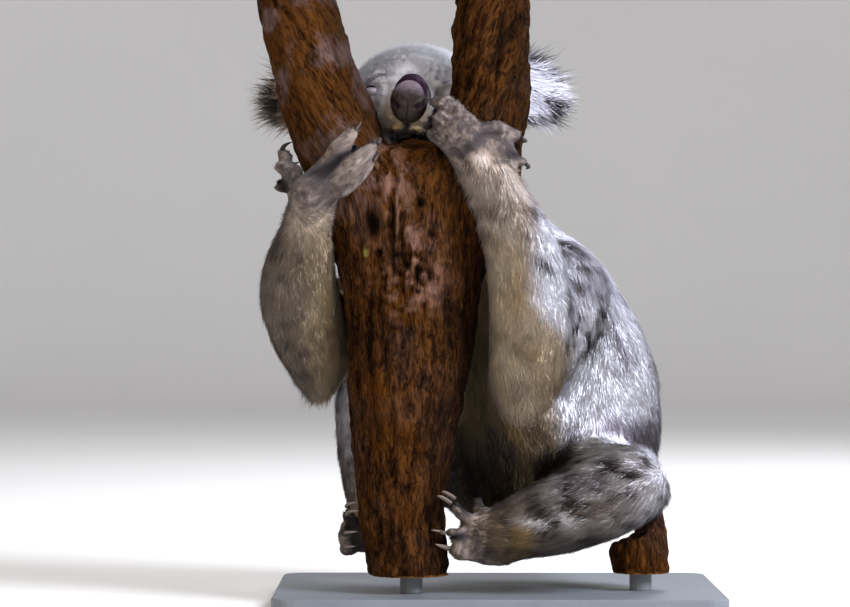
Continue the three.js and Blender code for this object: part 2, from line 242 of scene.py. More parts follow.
class Lens:
    # swells the space round a centre, so that a remesh of even voxels comes out finer there

    def __init__(self, centre, radius, power):
        self.centre = centre
        reach = radius * 5  # the swelling fades out over this distance
        self.inside = np.linspace(0, reach, 400)
        fade = 1 - smoothStep(radius, reach, self.inside)
        self.swollen = self.inside + (power - 1) * np.minimum(self.inside, radius) * fade

    def move(self, points, before, after):
        away = points - self.centre
        size = np.linalg.norm(away, axis=1, keepdims=True)
        reached = np.where(size < before[-1], np.interp(size, before, after), size)
        return self.centre + away * reached / np.maximum(size, 1e-9)

    def swell(self, points):
        return self.move(points, self.inside, self.swollen)

    def shrink(self, points):
        return self.move(points, self.swollen, self.inside)


def remeshed(name, cadNames, voxel, lenses=()):
    # one closed mesh round several CAD solids
    points, corners, sides, used = [], [], [], 0
    for cadName in cadNames:
        p, c, s = readMesh(cadNodes[cadName].data)
        points.append(p)
        corners.append(c + used)
        sides.append(s)
        used += len(p)
    points = np.concatenate(points)
    for lens in lenses:
        points = lens.swell(points)
    obj = newObject(name, points, np.concatenate(corners), np.concatenate(sides))
    bm = bmesh.new()
    bm.from_mesh(obj.data)
    bmesh.ops.remove_doubles(bm, verts=bm.verts, dist=1e-5)
    bm.to_mesh(obj.data)
    bm.free()
    modifier = obj.modifiers.new("remesh", "REMESH")
    modifier.mode = "VOXEL"
    modifier.voxel_size = voxel
    evaluated = obj.evaluated_get(bpy.context.evaluated_depsgraph_get())
    mesh = bpy.data.meshes.new_from_object(evaluated)
    bpy.data.objects.remove(obj)
    points = readMesh(mesh)[0]
    for lens in reversed(lenses):
        points = lens.shrink(points)
    writePoints(mesh, points)
    return mesh


def treeOf(cadNames):
    # a search tree over several CAD nodes, and the number of the node that owns each face
    points, faces, owner, used = [], [], [], 0
    for number, cadName in enumerate(cadNames):
        p, c, s = readMesh(cadNodes[cadName].data)
        points.extend(p.tolist())
        start = 0
        for count in s:
            faces.append([int(i) + used for i in c[start:start + count]])
            owner.append(number)
            start += count
        used += len(p)
    return BVHTree.FromPolygons(points, faces), np.array(owner)


def newMaterial(name):
    material = bpy.data.materials.new(name)
    material.use_nodes = True
    tree = material.node_tree
    shader = next(n for n in tree.nodes if n.type == "BSDF_PRINCIPLED")
    return material, tree, shader


def adjust(tree, made, settings):
    # each setting is a property or an input, given as a value or as another node's output
    for name, value in settings.items():
        if isinstance(value, bpy.types.NodeSocket):
            tree.links.new(value, made.inputs[name])
        elif isinstance(name, int) or name in made.inputs:
            made.inputs[name].default_value = value
        else:
            setattr(made, name, value)


def node(tree, kind, settings):
    made = tree.nodes.new(kind)
    adjust(tree, made, settings)
    return made


# the animal's own directions, from its eyes and nose
eyeLeft = centreOf("eye_left")
eyeRight = centreOf("eye_right")
eyesMiddle = (eyeLeft + eyeRight) / 2
muzzleSlope = math.radians(25)  # the nose pad's middle lies this far below the eyes' level
headSide = unit(eyeLeft - eyeRight)
towardsNose = centreOf("nose") - eyesMiddle
towardsNose = unit(towardsNose - headSide * (towardsNose @ headSide))
slopeUp = np.cross(headSide, -towardsNose)
headForward = towardsNose * math.cos(muzzleSlope) + slopeUp * math.sin(muzzleSlope)
headUp = np.cross(headSide, -headForward)
headAxes = np.stack([headSide, headForward, headUp])
down = np.array([0.0, 0.0, -1.0])


def inHead(points):
    # to the head's own frame: side (left +), forward, up, from the middle between the eyes
    return (points - eyesMiddle) @ headAxes.T


def fromHead(local):
    return eyesMiddle + np.asarray(local) @ headAxes


fleshNodes = ["head", "neck", "torso"]
for side in ("left", "right"):
    for part in ("ear", "upper_arm", "forearm", "hand", "thigh", "shank", "foot"):
        fleshNodes.append(f"{part}_{side}")
regionOf = {name: number for number, name in enumerate(fleshNodes)}
fleshTree, fleshOwner = treeOf(fleshNodes)
print("directions set; head looks along", headForward.round(2), "up", headUp.round(2))


skinValues = {
    "voxel": 0.0041,
    # how many times finer the mesh is at the face, hands and feet, and how far round each
    "finer": {"nose": (2.0, 0.036), "hand": (2.3, 0.044), "foot": (2.0, 0.034)},
    # the part of the face with faces of half the size, in the head's own frame
    "faceFrom": (-0.05, -0.022, -0.062),
    "faceTo": (0.05, 0.08, 0.03),
    # how deep the skin lies inside the coat's outline, in metres
    "depth": {"head": 0.0018, "neck": 0.0055, "torso": 0.0055, "ear": 0.0025, "upper_arm": 0.0042,
              "forearm": 0.0034, "hand": 0.0009, "thigh": 0.0044, "shank": 0.0034, "foot": 0.0010},
    # rounds of smoothing that take the solids' facets away
    "rounds": {"head": 16, "neck": 60, "torso": 72, "ear": 8, "upper_arm": 40,
               "forearm": 32, "hand": 5, "thigh": 40, "shank": 32, "foot": 5},
    "earShare": 0.66,  # the flesh of the ear, as a share of the ear with its fringe
    "earIn": 0.036,  # an ear joins the head this far in from its middle
    "earBelow": 0.004,
    "closeBy": 0.022,  # flesh or wood nearer than this shades the skin
}


def kindOf(region):
    return region.replace("_left", "").replace("_right", "")


def perRegion(weights, values):
    return weights @ np.array([values[kindOf(name)] for name in fleshNodes])


def shareOf(weights, *names):
    return weights[:, [regionOf[name] for name in names]].sum(1)


def regionWeights(surface, rounds):
    nearest = np.array([fleshOwner[fleshTree.find_nearest(p)[2]] for p in surface.points.tolist()])
    weights = np.zeros((len(surface.points), len(fleshNodes)))
    weights[np.arange(len(nearest)), nearest] = 1
    return surface.spread(weights, rounds)


def finerFace(mesh):
    bm = bmesh.new()
    bm.from_mesh(mesh)
    middles = inHead(np.array([list((e.verts[0].co + e.verts[1].co) / 2) for e in bm.edges]))
    inside = ((middles > skinValues["faceFrom"]) & (middles < skinValues["faceTo"])).all(1)
    edges = [edge for edge, isInside in zip(bm.edges, inside) if isInside]
    bmesh.ops.subdivide_edges(bm, edges=edges, cuts=1, use_grid_fill=True)
    bm.to_mesh(mesh)
    bm.free()


def earRoots():
    # where each ear joins the head: the side of its box nearest the head's middle
    roots = {}
    for side, sign in (("left", 1), ("right", -1)):
        middle = inHead(centreOf(f"ear_{side}"))
        roots[side] = fromHead(middle - [sign * skinValues["earIn"], 0, skinValues["earBelow"]])
    return roots


earRoot = earRoots()

# depths and heights of the face's forms, in metres
faceValues = {
    "behindPad": 0.0034,  # the skin lies this far behind the nose pad's front
    "padGroove": 0.0008,
    "eyeHollow": 0.0008,
    "brow": 0.0040,
    "eyeBag": 0.0014,
    "mouthUp": -0.0515,  # the mouth line at the front, below the eyes' level
    "mouthRise": 0.35,
    "mouthDeep": 0.0042,
    "upperLip": 0.0016,
    "lowerLip": 0.0012,
    "philtrumDeep": 0.0026,
    "whiskerPad": 0.0022,
    "noseFold": 0.0004,
}

noseTree = treeOf(["nose"])[0]
nosePoints = inHead(cadPoints("nose"))
noseMiddle = (nosePoints.min(0) + nosePoints.max(0)) / 2


def fromPad(local):
    # how far outside the nose pad's outline, as seen from in front; below 0 inside it
    turns = np.linspace(0, 2 * math.pi, 48, endpoint=False)
    ways = np.stack([np.cos(turns), np.sin(turns)])
    outline = (nosePoints[:, [0, 2]] @ ways).max(0)
    return (local[:, [0, 2]] @ ways - outline).max(1)


def behindPad(points):
    # pulls the skin back to a few millimetres behind the nose pad
    moved = points.copy()
    local = inHead(points)
    for n in np.flatnonzero((fromPad(local) < 0.003) & (local[:, 1] > 0.0)):
        start = points[n] + headForward * 0.05
        hit = noseTree.ray_cast(Vector(start), Vector(-headForward), 0.12)
        if hit[0] is not None:
            over = (points[n] - np.array(hit[0])) @ headForward + faceValues["behindPad"]
            moved[n] -= headForward * max(over, 0)
    return moved


def mouthLine(local):
    # height of the mouth line: it rises slowly towards the cheeks
    back = np.clip(0.045 - local[:, 1], 0, 0.05)
    return faceValues["mouthUp"] + faceValues["mouthRise"] * back - 0.6 * np.abs(local[:, 0]) * 0.12


def shapeFace(points, normals, headShare):
    local = inHead(points)
    side, forward, up = local.T
    push = np.zeros(len(points))
    push -= faceValues["padGroove"] * bump(fromPad(local), 0.0003, 0.0014) * (forward > 0.01)
    # a hollow in front of each eye, a brow over it and a bag below
    for eye in (inHead(eyeLeft[None])[0], inHead(eyeRight[None])[0]):
        away = np.sqrt(((side - eye[0]) / 0.011) ** 2 + ((up - eye[2] + 0.004) / 0.0065) ** 2)
        push -= faceValues["eyeHollow"] * np.exp(-away ** 2) * (forward > -0.02)
        brow = np.sqrt(((side - eye[0] * 1.02) / 0.014) ** 2 + ((up - eye[2] - 0.0062) / 0.0040) ** 2)
        push += faceValues["brow"] * np.exp(-brow ** 2)
        bag = np.sqrt(((side - eye[0] * 0.98) / 0.012) ** 2 + ((up - eye[2] + 0.0110) / 0.004) ** 2)
        push += faceValues["eyeBag"] * np.exp(-bag ** 2) * (forward > -0.02)
    # mouth line round the front of the muzzle, the split below the nose and the lips beside it
    atFront = smoothStep(0.0, 0.016, forward)
    toMouth = up - mouthLine(local)
    push -= faceValues["mouthDeep"] * bump(toMouth, 0, 0.0017) * atFront
    push += faceValues["upperLip"] * bump(toMouth, 0.0045, 0.003) * atFront
    push += faceValues["lowerLip"] * bump(toMouth, -0.005, 0.003) * atFront
    split = bump(side, 0, 0.0013) * (up > faceValues["mouthUp"]) * (up < -0.028)
    push -= faceValues["philtrumDeep"] * split * (forward > 0.03)
    for sign in (-1, 1):
        pad = ((side - sign * 0.0165) / 0.009) ** 2 + ((up + 0.034) / 0.010) ** 2
        push += faceValues["whiskerPad"] * np.exp(-pad) * (forward > 0.02)
    # a shallow fold from the inner corner of each eye down beside the nose
    fold = bump(np.abs(side), 0.0205, 0.0022) * smoothStep(-0.028, -0.016, up)
    push -= faceValues["noseFold"] * fold * smoothStep(0.006, -0.002, up) * (forward > 0.004)
    return behindPad(points + normals * (push * headShare)[:, None])


digitValues = {
    "palmReach": 0.30,  # the digits part this far from the wrist towards the claws
    "grooveDeep": 0.0040,
    "grooveWide": 0.0024,
    "grooveFrom": (0.016, 0.028),  # a groove deepens between these distances from the palm
    "thick": (0.027, 0.019),  # and fades between these distances from a digit's middle
    "near": 0.075,  # nothing further than this from a hand or foot belongs to it
}


def digitGrooves(points):
    # 1 midway between two neighbouring digits; each digit runs from near the wrist to its claw
    grooves = np.zeros(len(points))
    for limb, above in (("hand", "forearm"), ("foot", "shank")):
        for side in ("left", "right"):
            shape = cadPoints(f"{limb}_{side}")
            toLimb = np.linalg.norm(shape - centreOf(f"{above}_{side}"), axis=1)
            wrist = shape[toLimb < np.quantile(toLimb, 0.2)].mean(0)
            claws = [centreOf(name) for name in sorted(cadNodes) if name.startswith(f"claw_{limb}_{side}")]
            palm = wrist + (np.mean(claws, axis=0) - wrist) * digitValues["palmReach"]
            near = np.flatnonzero(np.linalg.norm(points - shape.mean(0), axis=1) < digitValues["near"])
            local = points[near] - palm
            away = []
            for digit in claws - palm:
                along = np.clip(local @ digit / (digit @ digit), 0, 1)
                away.append(np.linalg.norm(local - along[:, None] * digit, axis=1))
            away = np.sort(np.array(away), axis=0)
            between = bump(away[1] - away[0], 0, digitValues["grooveWide"])
            between *= smoothStep(*digitValues["grooveFrom"], np.linalg.norm(local, axis=1))
            between *= smoothStep(*digitValues["thick"], away[0])
            grooves[near] = np.maximum(grooves[near], between)
    return grooves


def skinLenses():
    lenses = []
    for kind, (power, radius) in skinValues["finer"].items():
        for name in cadNodes:
            if name == kind or name in (f"{kind}_left", f"{kind}_right"):
                lenses.append(Lens(centreOf(name), radius, power))
    return lenses


def makeSkin():
    nodes = fleshNodes + ["eye_left", "eye_right", "nose"]
    mesh = remeshed("skin", nodes, skinValues["voxel"], skinLenses())
    finerFace(mesh)
    surface = Surface(mesh)
    weights = regionWeights(surface, 4)
    rounds = perRegion(weights, skinValues["rounds"])
    surface.relax(np.minimum(rounds, 3), (0.55, -0.5))
    surface.relax(np.maximum(rounds - 3, 0))
    weights = regionWeights(surface, 14)
    normals = unit(surface.spread(surface.normals(), 4))
    surface.points -= normals * perRegion(weights, skinValues["depth"])[:, None]
    for side in ("left", "right"):
        share = smoothStep(0.25, 0.9, shareOf(weights, f"ear_{side}"))
        shrink = 1 - share * (1 - skinValues["earShare"])
        surface.points = earRoot[side] + (surface.points - earRoot[side]) * shrink[:, None]
    surface.relax(np.minimum(rounds / 8, 5))
    headShare = smoothStep(0.3, 0.8, shareOf(weights, "head"))
    surface.points = shapeFace(surface.points, surface.normals(), headShare)
    handShare = perRegion(weights, {kindOf(name): kindOf(name) in ("hand", "foot") for name in fleshNodes})
    groove = digitGrooves(surface.points) * handShare * digitValues["grooveDeep"]
    surface.points -= surface.normals() * groove[:, None]
    mesh.polygons.foreach_set("use_smooth", np.full(len(mesh.polygons), True))
    writePoints(mesh, surface.points)
    obj = bpy.data.objects.new("skin", mesh)
    bpy.context.scene.collection.objects.link(obj)
    return obj, surface, weights


skin, skinSurface, skinWeights = makeSkin()
skinNormals = skinSurface.normals()
print("skin:", len(skinSurface.points), "points")


def longAxis(name, towards):
    # the long axis of a CAD node, pointing towards a given place
    points = cadPoints(name)
    spread = points - points.mean(0)
    axis = np.linalg.svd(spread, full_matrices=False)[2][0]
    return axis if axis @ (towards - points.mean(0)) > 0 else -axis


def clawsMiddle(limb, side):
    first = 1 if limb == "hand" else 2
    return np.mean([centreOf(f"claw_{limb}_{side}_{n}") for n in range(first, 6)], axis=0)


def regionAxes():
    # the way each region runs: back from the nose, down the body, and out along ears and limbs
    neckTop = [*centreOf("neck")[:2], boxOf("torso")[1][2]]
    seat = [*centreOf("torso")[:2], boxOf("torso")[0][2]]
    axes = {"head": -headForward, "neck": longAxis("neck", centreOf("torso")),
            "torso": unit(np.subtract(seat, neckTop))}
    for side in ("left", "right"):
        axes[f"ear_{side}"] = unit(centreOf(f"ear_{side}") - earRoot[side])
        for limb, end in (("upper_arm", "forearm"), ("forearm", "hand"),
                          ("thigh", "shank"), ("shank", "foot")):
            axes[f"{limb}_{side}"] = longAxis(f"{limb}_{side}", centreOf(f"{end}_{side}"))
        for limb in ("hand", "foot"):
            axes[f"{limb}_{side}"] = unit(clawsMiddle(limb, side) - centreOf(f"{limb}_{side}"))
    return axes


axisOf = regionAxes()
fleshAxes = [axisOf[name] for name in fleshNodes]


def flowOf(name, points):
    # the way the hair lies in one region: backwards from the nose, outwards on the ears, else down the limb
    if name == "head":
        return unit(points - fromHead([0, 0.062, -0.012]))
    if name.startswith("ear"):
        # outwards, and drooping a little
        return unit(unit(points - earRoot[name[4:]]) + axisOf[name] * 0.5 + down * 0.35)
    if name.startswith("forearm"):
        # down to the elbow, and hanging there
        fall = smoothStep(0.45, 0.15, inBox(points, name)[:, 2])[:, None]
        return axisOf[name] * (fall - 1) + down * fall
    return np.broadcast_to(axisOf[name], points.shape)


def lieField(surface, weights, normals):
    flow = np.zeros_like(surface.points)
    for number, name in enumerate(fleshNodes):
        flow += weights[:, number:number + 1] * flowOf(name, surface.points)
    flow = surface.spread(flow, 36)
    flow -= normals * (flow * normals).sum(1, keepdims=True)
    return unit(surface.spread(unit(flow), 4))


def streaks(points, axes, shares, along, across, seed):
    # noise drawn out along several axes, each with its share at each point
    total = np.zeros(len(points))
    for number, axis in enumerate(axes):
        share = shares[:, number]
        used = share > 0.02
        if used.any():
            length = points[used] @ axis
            rest = points[used] - length[:, None] * axis
            stretched = rest / across + (length / along)[:, None] * axis
            total[used] += share[used] * softNoise(stretched, 1.0, seed + number)
    return total


# how pale, dark and warm each region is, from 0 to 1
baseMarks = {
    "pale": {"head": 0.66, "neck": 0.80, "torso": 0.96, "ear": 0.60, "upper_arm": 0.52,
             "forearm": 0.40, "hand": 0.08, "thigh": 0.58, "shank": 0.16, "foot": 0.10},
    "dark": {"head": 0.03, "neck": 0.08, "torso": 0.00, "ear": 0.02, "upper_arm": 0.10,
             "forearm": 0.12, "hand": 0.78, "thigh": 0.20, "shank": 0.52, "foot": 0.76},
    # warm is partly the fur's own brown and partly painted warm shade, most on the hands, feet and lower legs
    "warm": {"head": 0.05, "neck": 0.05, "torso": 0.00, "ear": 0.03, "upper_arm": 0.06,
             "forearm": 0.14, "hand": 0.60, "thigh": 0.06, "shank": 0.46, "foot": 0.66},
    "mottled": {"head": 0.10, "neck": 0.30, "torso": 0.12, "ear": 0.30, "upper_arm": 0.80,
                "forearm": 0.90, "hand": 0.0, "thigh": 0.70, "shank": 0.80, "foot": 0.0},
}

# what each patch of the coat adds to a region's marks
# the patches for folds, gaps, corners, the lap, the side by the tree, the lower face, the right arm and the
# right ear add painted shade; those for the sides of the head, the elbow's ridges and the inside of the right
# arm add painted light
patches = {
    # back and flank
    "back": {"pale": -0.28, "dark": 0.10},
    "lines": {"pale": -0.35},
    "flankLines": {"pale": -0.60},
    "darkLines": {"dark": 0.12},
    "flankDarkLines": {"dark": 0.22},
    "hip": {"pale": -0.34},
    "rump": {"pale": 0.30},
    "white": {"pale": 2.2, "dark": -1.6, "warm": -1.6},
    "aboveThigh": {"pale": -1.2},
    "aboveThighDark": {"dark": 0.56},
    "thighFoldShade": {"dark": 0.35},
    # chest, belly and lap
    "belly": {"warm": 0.85, "pale": -0.30, "dark": 0.16},
    "lap": {"dark": 0.20},
    "lapFoldShade": {"dark": 1.3, "deep": 1.3},
    "byTreeShade": {"warm": 0.60},
    "byTreeLowShade": {"dark": 0.50},
    # right arm
    "rightArmGreyAndShade": {"dark": 0.44, "warm": 0.58},
    "rightArmInsideAndLight": {"dark": -0.62, "warm": 0.16, "pale": 0.60},
    # left arm
    "armByTree": {"warm": 0.66, "pale": 0.30, "dark": -0.10},
    "wristByTree": {"warm": -0.20, "pale": -0.30},
    "wrist": {"dark": 0.13},
    "wristFlecks": {"dark": 0.34},
    "armBand": {"pale": 0.90, "dark": -0.30, "warm": -0.20},
    "shoulder": {"dark": 0.26},
    "shoulderFlecks": {"dark": 0.50},
    "elbowFoldShade": {"dark": 1.1},
    "elbowFoldFloorShade": {"deep": 0.8},
    "elbowFoldRidgeLight": {"pale": 0.5},
    "shoulderLineShade": {"dark": 0.9, "deep": 0.5},
    # legs
    "knee": {"pale": 0.80, "dark": -0.30},
    "midLeg": {"pale": 0.12, "warm": -0.34},
    "legFlecks": {"dark": 0.85},
    "legFlecksFloorShade": {"deep": 0.6},
    "legLights": {"pale": 0.45},
    "legTop": {"pale": 0.62, "dark": -0.24, "warm": -0.30},
    "legStripe": {"pale": 0.70, "dark": -0.65, "warm": -0.45},
    "ankle": {"pale": 0.25, "dark": -0.34, "warm": 0.40},
    "legUnder": {"dark": 0.20},
    "belowKnee": {"warm": 0.34, "dark": 0.12},
    # hands and feet
    "fingertips": {"pale": 0.50, "dark": -0.30},
    "speckle": {"pale": -0.30, "dark": 0.22},
    "digitGapShade": {"dark": 0.9},
    "digitGapFloorShade": {"deep": 1.0},
    "closeDigitsShade": {"dark": 0.30},
    "palm": {"dark": 0.10},
    # head
    "crown": {"pale": 0.50},
    "brow": {"dark": 0.10},
    "litTemples": {"pale": 0.60, "dark": -0.14},
    "eyeCornerShade": {"dark": 0.60, "deep": 0.25},
    "cheek": {"dark": 0.32, "warm": 0.60, "pale": -0.20},
    "leftCheekShade": {"dark": 0.30},
    "jaw": {"dark": 0.40, "deep": 0.20},
    "lowerFace": {"warm": 0.16},
    "lips": {"pale": 0.35, "dark": -0.30, "warm": 0.35},
    "seam": {"dark": 0.95, "deep": 0.8},
    "mouth": {"dark": 1.2, "deep": 1.0},
    "besideNose": {"dark": 0.12},
    "padArch": {"dark": 1.3, "deep": 0.4},
    "roundPadShade": {"dark": 0.24},
    "headFlecks": {"dark": 0.16},
    "headLights": {"pale": 0.24},
    # ears
    "earBehind": {"dark": 0.20, "pale": -0.30},
    "earRim": {"dark": 0.50, "pale": -0.40},
    "leftEar": {"pale": 0.30},
    "leftEarBands": {"pale": -0.45},
    "rightEar": {"dark": 0.42, "warm": 0.60, "pale": -0.50},
    # anywhere
    "closeFleshShade": {"dark": 0.24},
    "clouds": {"warm": 0.05},
    "darkLocks": {"dark": 0.40},
}


def tint(marks, patch, where):
    # where says how far the patch covers each point
    for key, amount in patches[patch].items():
        marks[key] += amount * where


def openness(points, normals):
    # 1 where the skin is free to be seen, less where other flesh or the wood lies close over it
    corners, sides = skinSurface.corners, skinSurface.sides
    starts = (np.cumsum(sides) - sides).tolist()
    faces = [corners[s:s + n].tolist() for s, n in zip(starts, sides.tolist())]
    bodyTree = BVHTree.FromPolygons(skinSurface.points.tolist(), faces)
    woodTree, _ = treeOf(["perch_trunk", "perch_seat"])
    reach = skinValues["closeBy"]
    free = np.ones(len(points))
    for n, (point, normal) in enumerate(zip(points, normals)):
        start = Vector(point + normal * 0.002)
        for tree in (bodyTree, woodTree):
            hit = tree.ray_cast(start, Vector(normal), reach)
            if hit[0] is not None:
                free[n] = min(free[n], hit[3] / reach)
    return free


skinOpen = skinSurface.spread(openness(skinSurface.points, skinNormals), 3)


# the places of patches are shares of a CAD node's box, from the right side, the front and the foot,
# or on the head metres from the middle between the eyes
def torsoMarks(marks, points, weights, lines):
    across, back, up = inBox(points, "torso").T
    trunk = shareOf(weights, "torso", "neck")
    # grey lines down the back and flank, closer over the hip
    hip = smoothStep(0.42, 0.26, up)
    flank = smoothStep(0.75, 0.50, back)
    lines = lines + 0.30 * hip
    tint(marks, "back", trunk * (1 - flank))
    tint(marks, "lines", trunk * smoothStep(0.08, 0.42, lines))
    tint(marks, "flankLines", trunk * flank * smoothStep(0.08, 0.42, lines))
    tint(marks, "darkLines", trunk * smoothStep(0.18, 0.60, lines))
    tint(marks, "flankDarkLines", trunk * flank * smoothStep(0.18, 0.60, lines))
    tint(marks, "hip", trunk * hip * smoothStep(0.66, 0.80, across))
    tint(marks, "rump", trunk * bump(up, 0.05, 0.16) * smoothStep(0.3, 0.7, back))
    tint(marks, "white", trunk * whitePatch(points))
    # the flank is grey just above the thigh, with painted shade in the fold between them
    above = trunk * smoothStep(0.62, 0.74, across) * smoothStep(0.50, 0.36, back)
    tint(marks, "aboveThigh", above * bump(up, 0.355, 0.044))
    tint(marks, "aboveThighDark", above * bump(up, 0.355, 0.042))
    tint(marks, "thighFoldShade", above * bump(up, 0.330, 0.012))
    # chest and belly: cream above, brown and darker in the lap and towards the tree; the belly's brown is
    # partly its own and partly painted shade, and the darkening in the lap and by the tree is painted shade
    belly = trunk * smoothStep(0.62, 0.46, across) * smoothStep(0.45, 0.20, back)
    tint(marks, "belly", belly)
    tint(marks, "lap", belly * smoothStep(0.40, 0.30, up))
    byTreeShade = trunk * smoothStep(0.38, 0.24, across) * smoothStep(0.80, 0.60, back)
    tint(marks, "byTreeShade", byTreeShade)
    tint(marks, "byTreeLowShade", byTreeShade * smoothStep(0.75, 0.55, up))
    # painted shade in the deep fold where the thigh meets the belly
    fold = (trunk + shareOf(weights, "thigh_left")) * bump(up - 0.30 * (across - 0.55), 0.288, 0.032)
    fold *= smoothStep(0.40, 0.50, across) * smoothStep(0.66, 0.58, across) * smoothStep(0.3, 0.15, back)
    tint(marks, "lapFoldShade", fold)


def armMarks(marks, points, weights, wavy):
    # the right arm is cream inside and greyer outside; the whole arm is also darker and browner with painted
    # shade, and its inside paler with painted light
    arm = shareOf(weights, "forearm_right", "upper_arm_right").clip(0, 1)
    tint(marks, "rightArmGreyAndShade", arm)
    tint(marks, "rightArmInsideAndLight", arm * smoothStep(0.42, 0.70, inBox(points, "forearm_right")[:, 0]))
    # the left arm is cream towards the tree and at the elbow
    across, _, up = inBox(points, "torso").T
    arm = shareOf(weights, "forearm_left", "upper_arm_left").clip(0, 1)
    inner = smoothStep(0.44, 0.34, across - 0.18 * smoothStep(0.72, 0.56, up)) * arm
    inner = np.maximum(inner, arm * smoothStep(0.56, 0.48, up) * smoothStep(0.62, 0.52, across))
    wrist = smoothStep(0.80, 0.95, up)
    tint(marks, "armByTree", inner)
    tint(marks, "wristByTree", inner * wrist)
    tint(marks, "wrist", arm * wrist)
    tint(marks, "wristFlecks", arm * wrist * smoothStep(0.10, 0.50, wavy))
    # a bright band down its middle, then the speckled grey shoulder
    tint(marks, "armBand", (arm - inner) * smoothStep(0.58, 0.48, across) * smoothStep(0.60, 0.70, up))
    shoulder = arm * smoothStep(0.47, 0.53, across) * smoothStep(0.68, 0.74, up)
    tint(marks, "shoulder", shoulder)
    flecks = softNoise(points, (0.005, 0.005, 0.011), 43)
    tint(marks, "shoulderFlecks", shoulder * smoothStep(0.0, 0.5, flecks))
    # painted shade in the folds behind the elbow and in one across the shoulder, with painted light on the
    # ridges between the elbow's folds
    folds = arm * smoothStep(0.46, 0.55, across) * bump(up, 0.625, 0.075)
    tint(marks, "elbowFoldShade", folds * smoothStep(0.05, 0.35, wavy))
    tint(marks, "elbowFoldFloorShade", folds * smoothStep(0.20, 0.55, wavy))
    tint(marks, "elbowFoldRidgeLight", folds * smoothStep(0.0, -0.3, wavy))
    along = (across - 0.40) / 0.07
    line = bump(up - 0.825 + 0.045 * along, 0, 0.012) * smoothStep(-0.1, 0.1, along)
    tint(marks, "shoulderLineShade", arm * line * smoothStep(1.1, 0.9, along))


def legMarks(marks, points, weights, wavy):
    # pale at the knee's end, flecked in the middle, brown below
    for side in ("left", "right"):
        leg = shareOf(weights, f"shank_{side}", f"thigh_{side}")
        across, _, up = inBox(points, f"shank_{side}").T
        if side == "left":
            knee = smoothStep(0.74, 0.92, up) * smoothStep(0.46, 0.62, across)
            knee = np.maximum(smoothStep(0.66, 0.95, across), knee)
            middle, flecked = smoothStep(0.25, 0.45, across), 1.0
            # grey on top by the fold, a pale stripe along the shank, and darker again under it
            tint(marks, "legTop", leg * smoothStep(0.80, 0.90, up) * smoothStep(0.50, 0.62, across))
            stripe = bump(up - 0.10 * across, 0.36, 0.055) * smoothStep(0.16, 0.26, across)
            tint(marks, "legStripe", leg * stripe * smoothStep(0.58, 0.46, across))
            tint(marks, "ankle", leg * bump(across, 0.265, 0.050) * smoothStep(0.38, 0.28, up))
            under = smoothStep(0.32, 0.24, up) * smoothStep(0.30, 0.38, across)
            tint(marks, "legUnder", leg * under * (1 - knee))
        else:
            knee = smoothStep(0.5, 0.9, up)
            middle, flecked = smoothStep(0.2, 0.4, up), 0.4
        tint(marks, "knee", leg * knee)
        tint(marks, "midLeg", leg * middle)
        tint(marks, "legLights", leg * middle * smoothStep(-0.05, -0.45, wavy))
        flecks = leg * middle * (1 - 0.7 * knee) * flecked
        tint(marks, "legFlecks", flecks * smoothStep(0.18, 0.50, wavy))
        # the darkest flecks go near black with painted shade between the locks
        tint(marks, "legFlecksFloorShade", flecks * smoothStep(0.40, 0.75, wavy))
        tint(marks, "belowKnee", leg * smoothStep(0.52, 0.30, up - 0.25 * across) * (1 - knee))


def digitMarks(marks, points, weights, free):
    # hands and feet: painted shade in the gaps between the digits and where other flesh lies close, pale tips
    gaps = digitGrooves(points)
    speckle = softNoise(points, 0.0032, 63) + 0.7 * softNoise(points, 0.0016, 65)
    for name in fleshNodes:
        if kindOf(name) in ("hand", "foot"):
            share = shareOf(weights, name)
            reach = (points - centreOf(name)) @ axisOf[name]
            tint(marks, "fingertips", share * smoothStep(0.026, 0.046, reach))
            tint(marks, "speckle", share * speckle)
            tint(marks, "digitGapShade", share * gaps)
            tint(marks, "digitGapFloorShade", share * smoothStep(0.20, 0.60, gaps))
            tint(marks, "closeDigitsShade", share * smoothStep(0.8, 0.2, free))
            if name == "hand_left":
                tint(marks, "palm", share)
            if name == "hand_right":
                tint(marks, "palm", share * smoothStep(0.012, -0.008, reach))


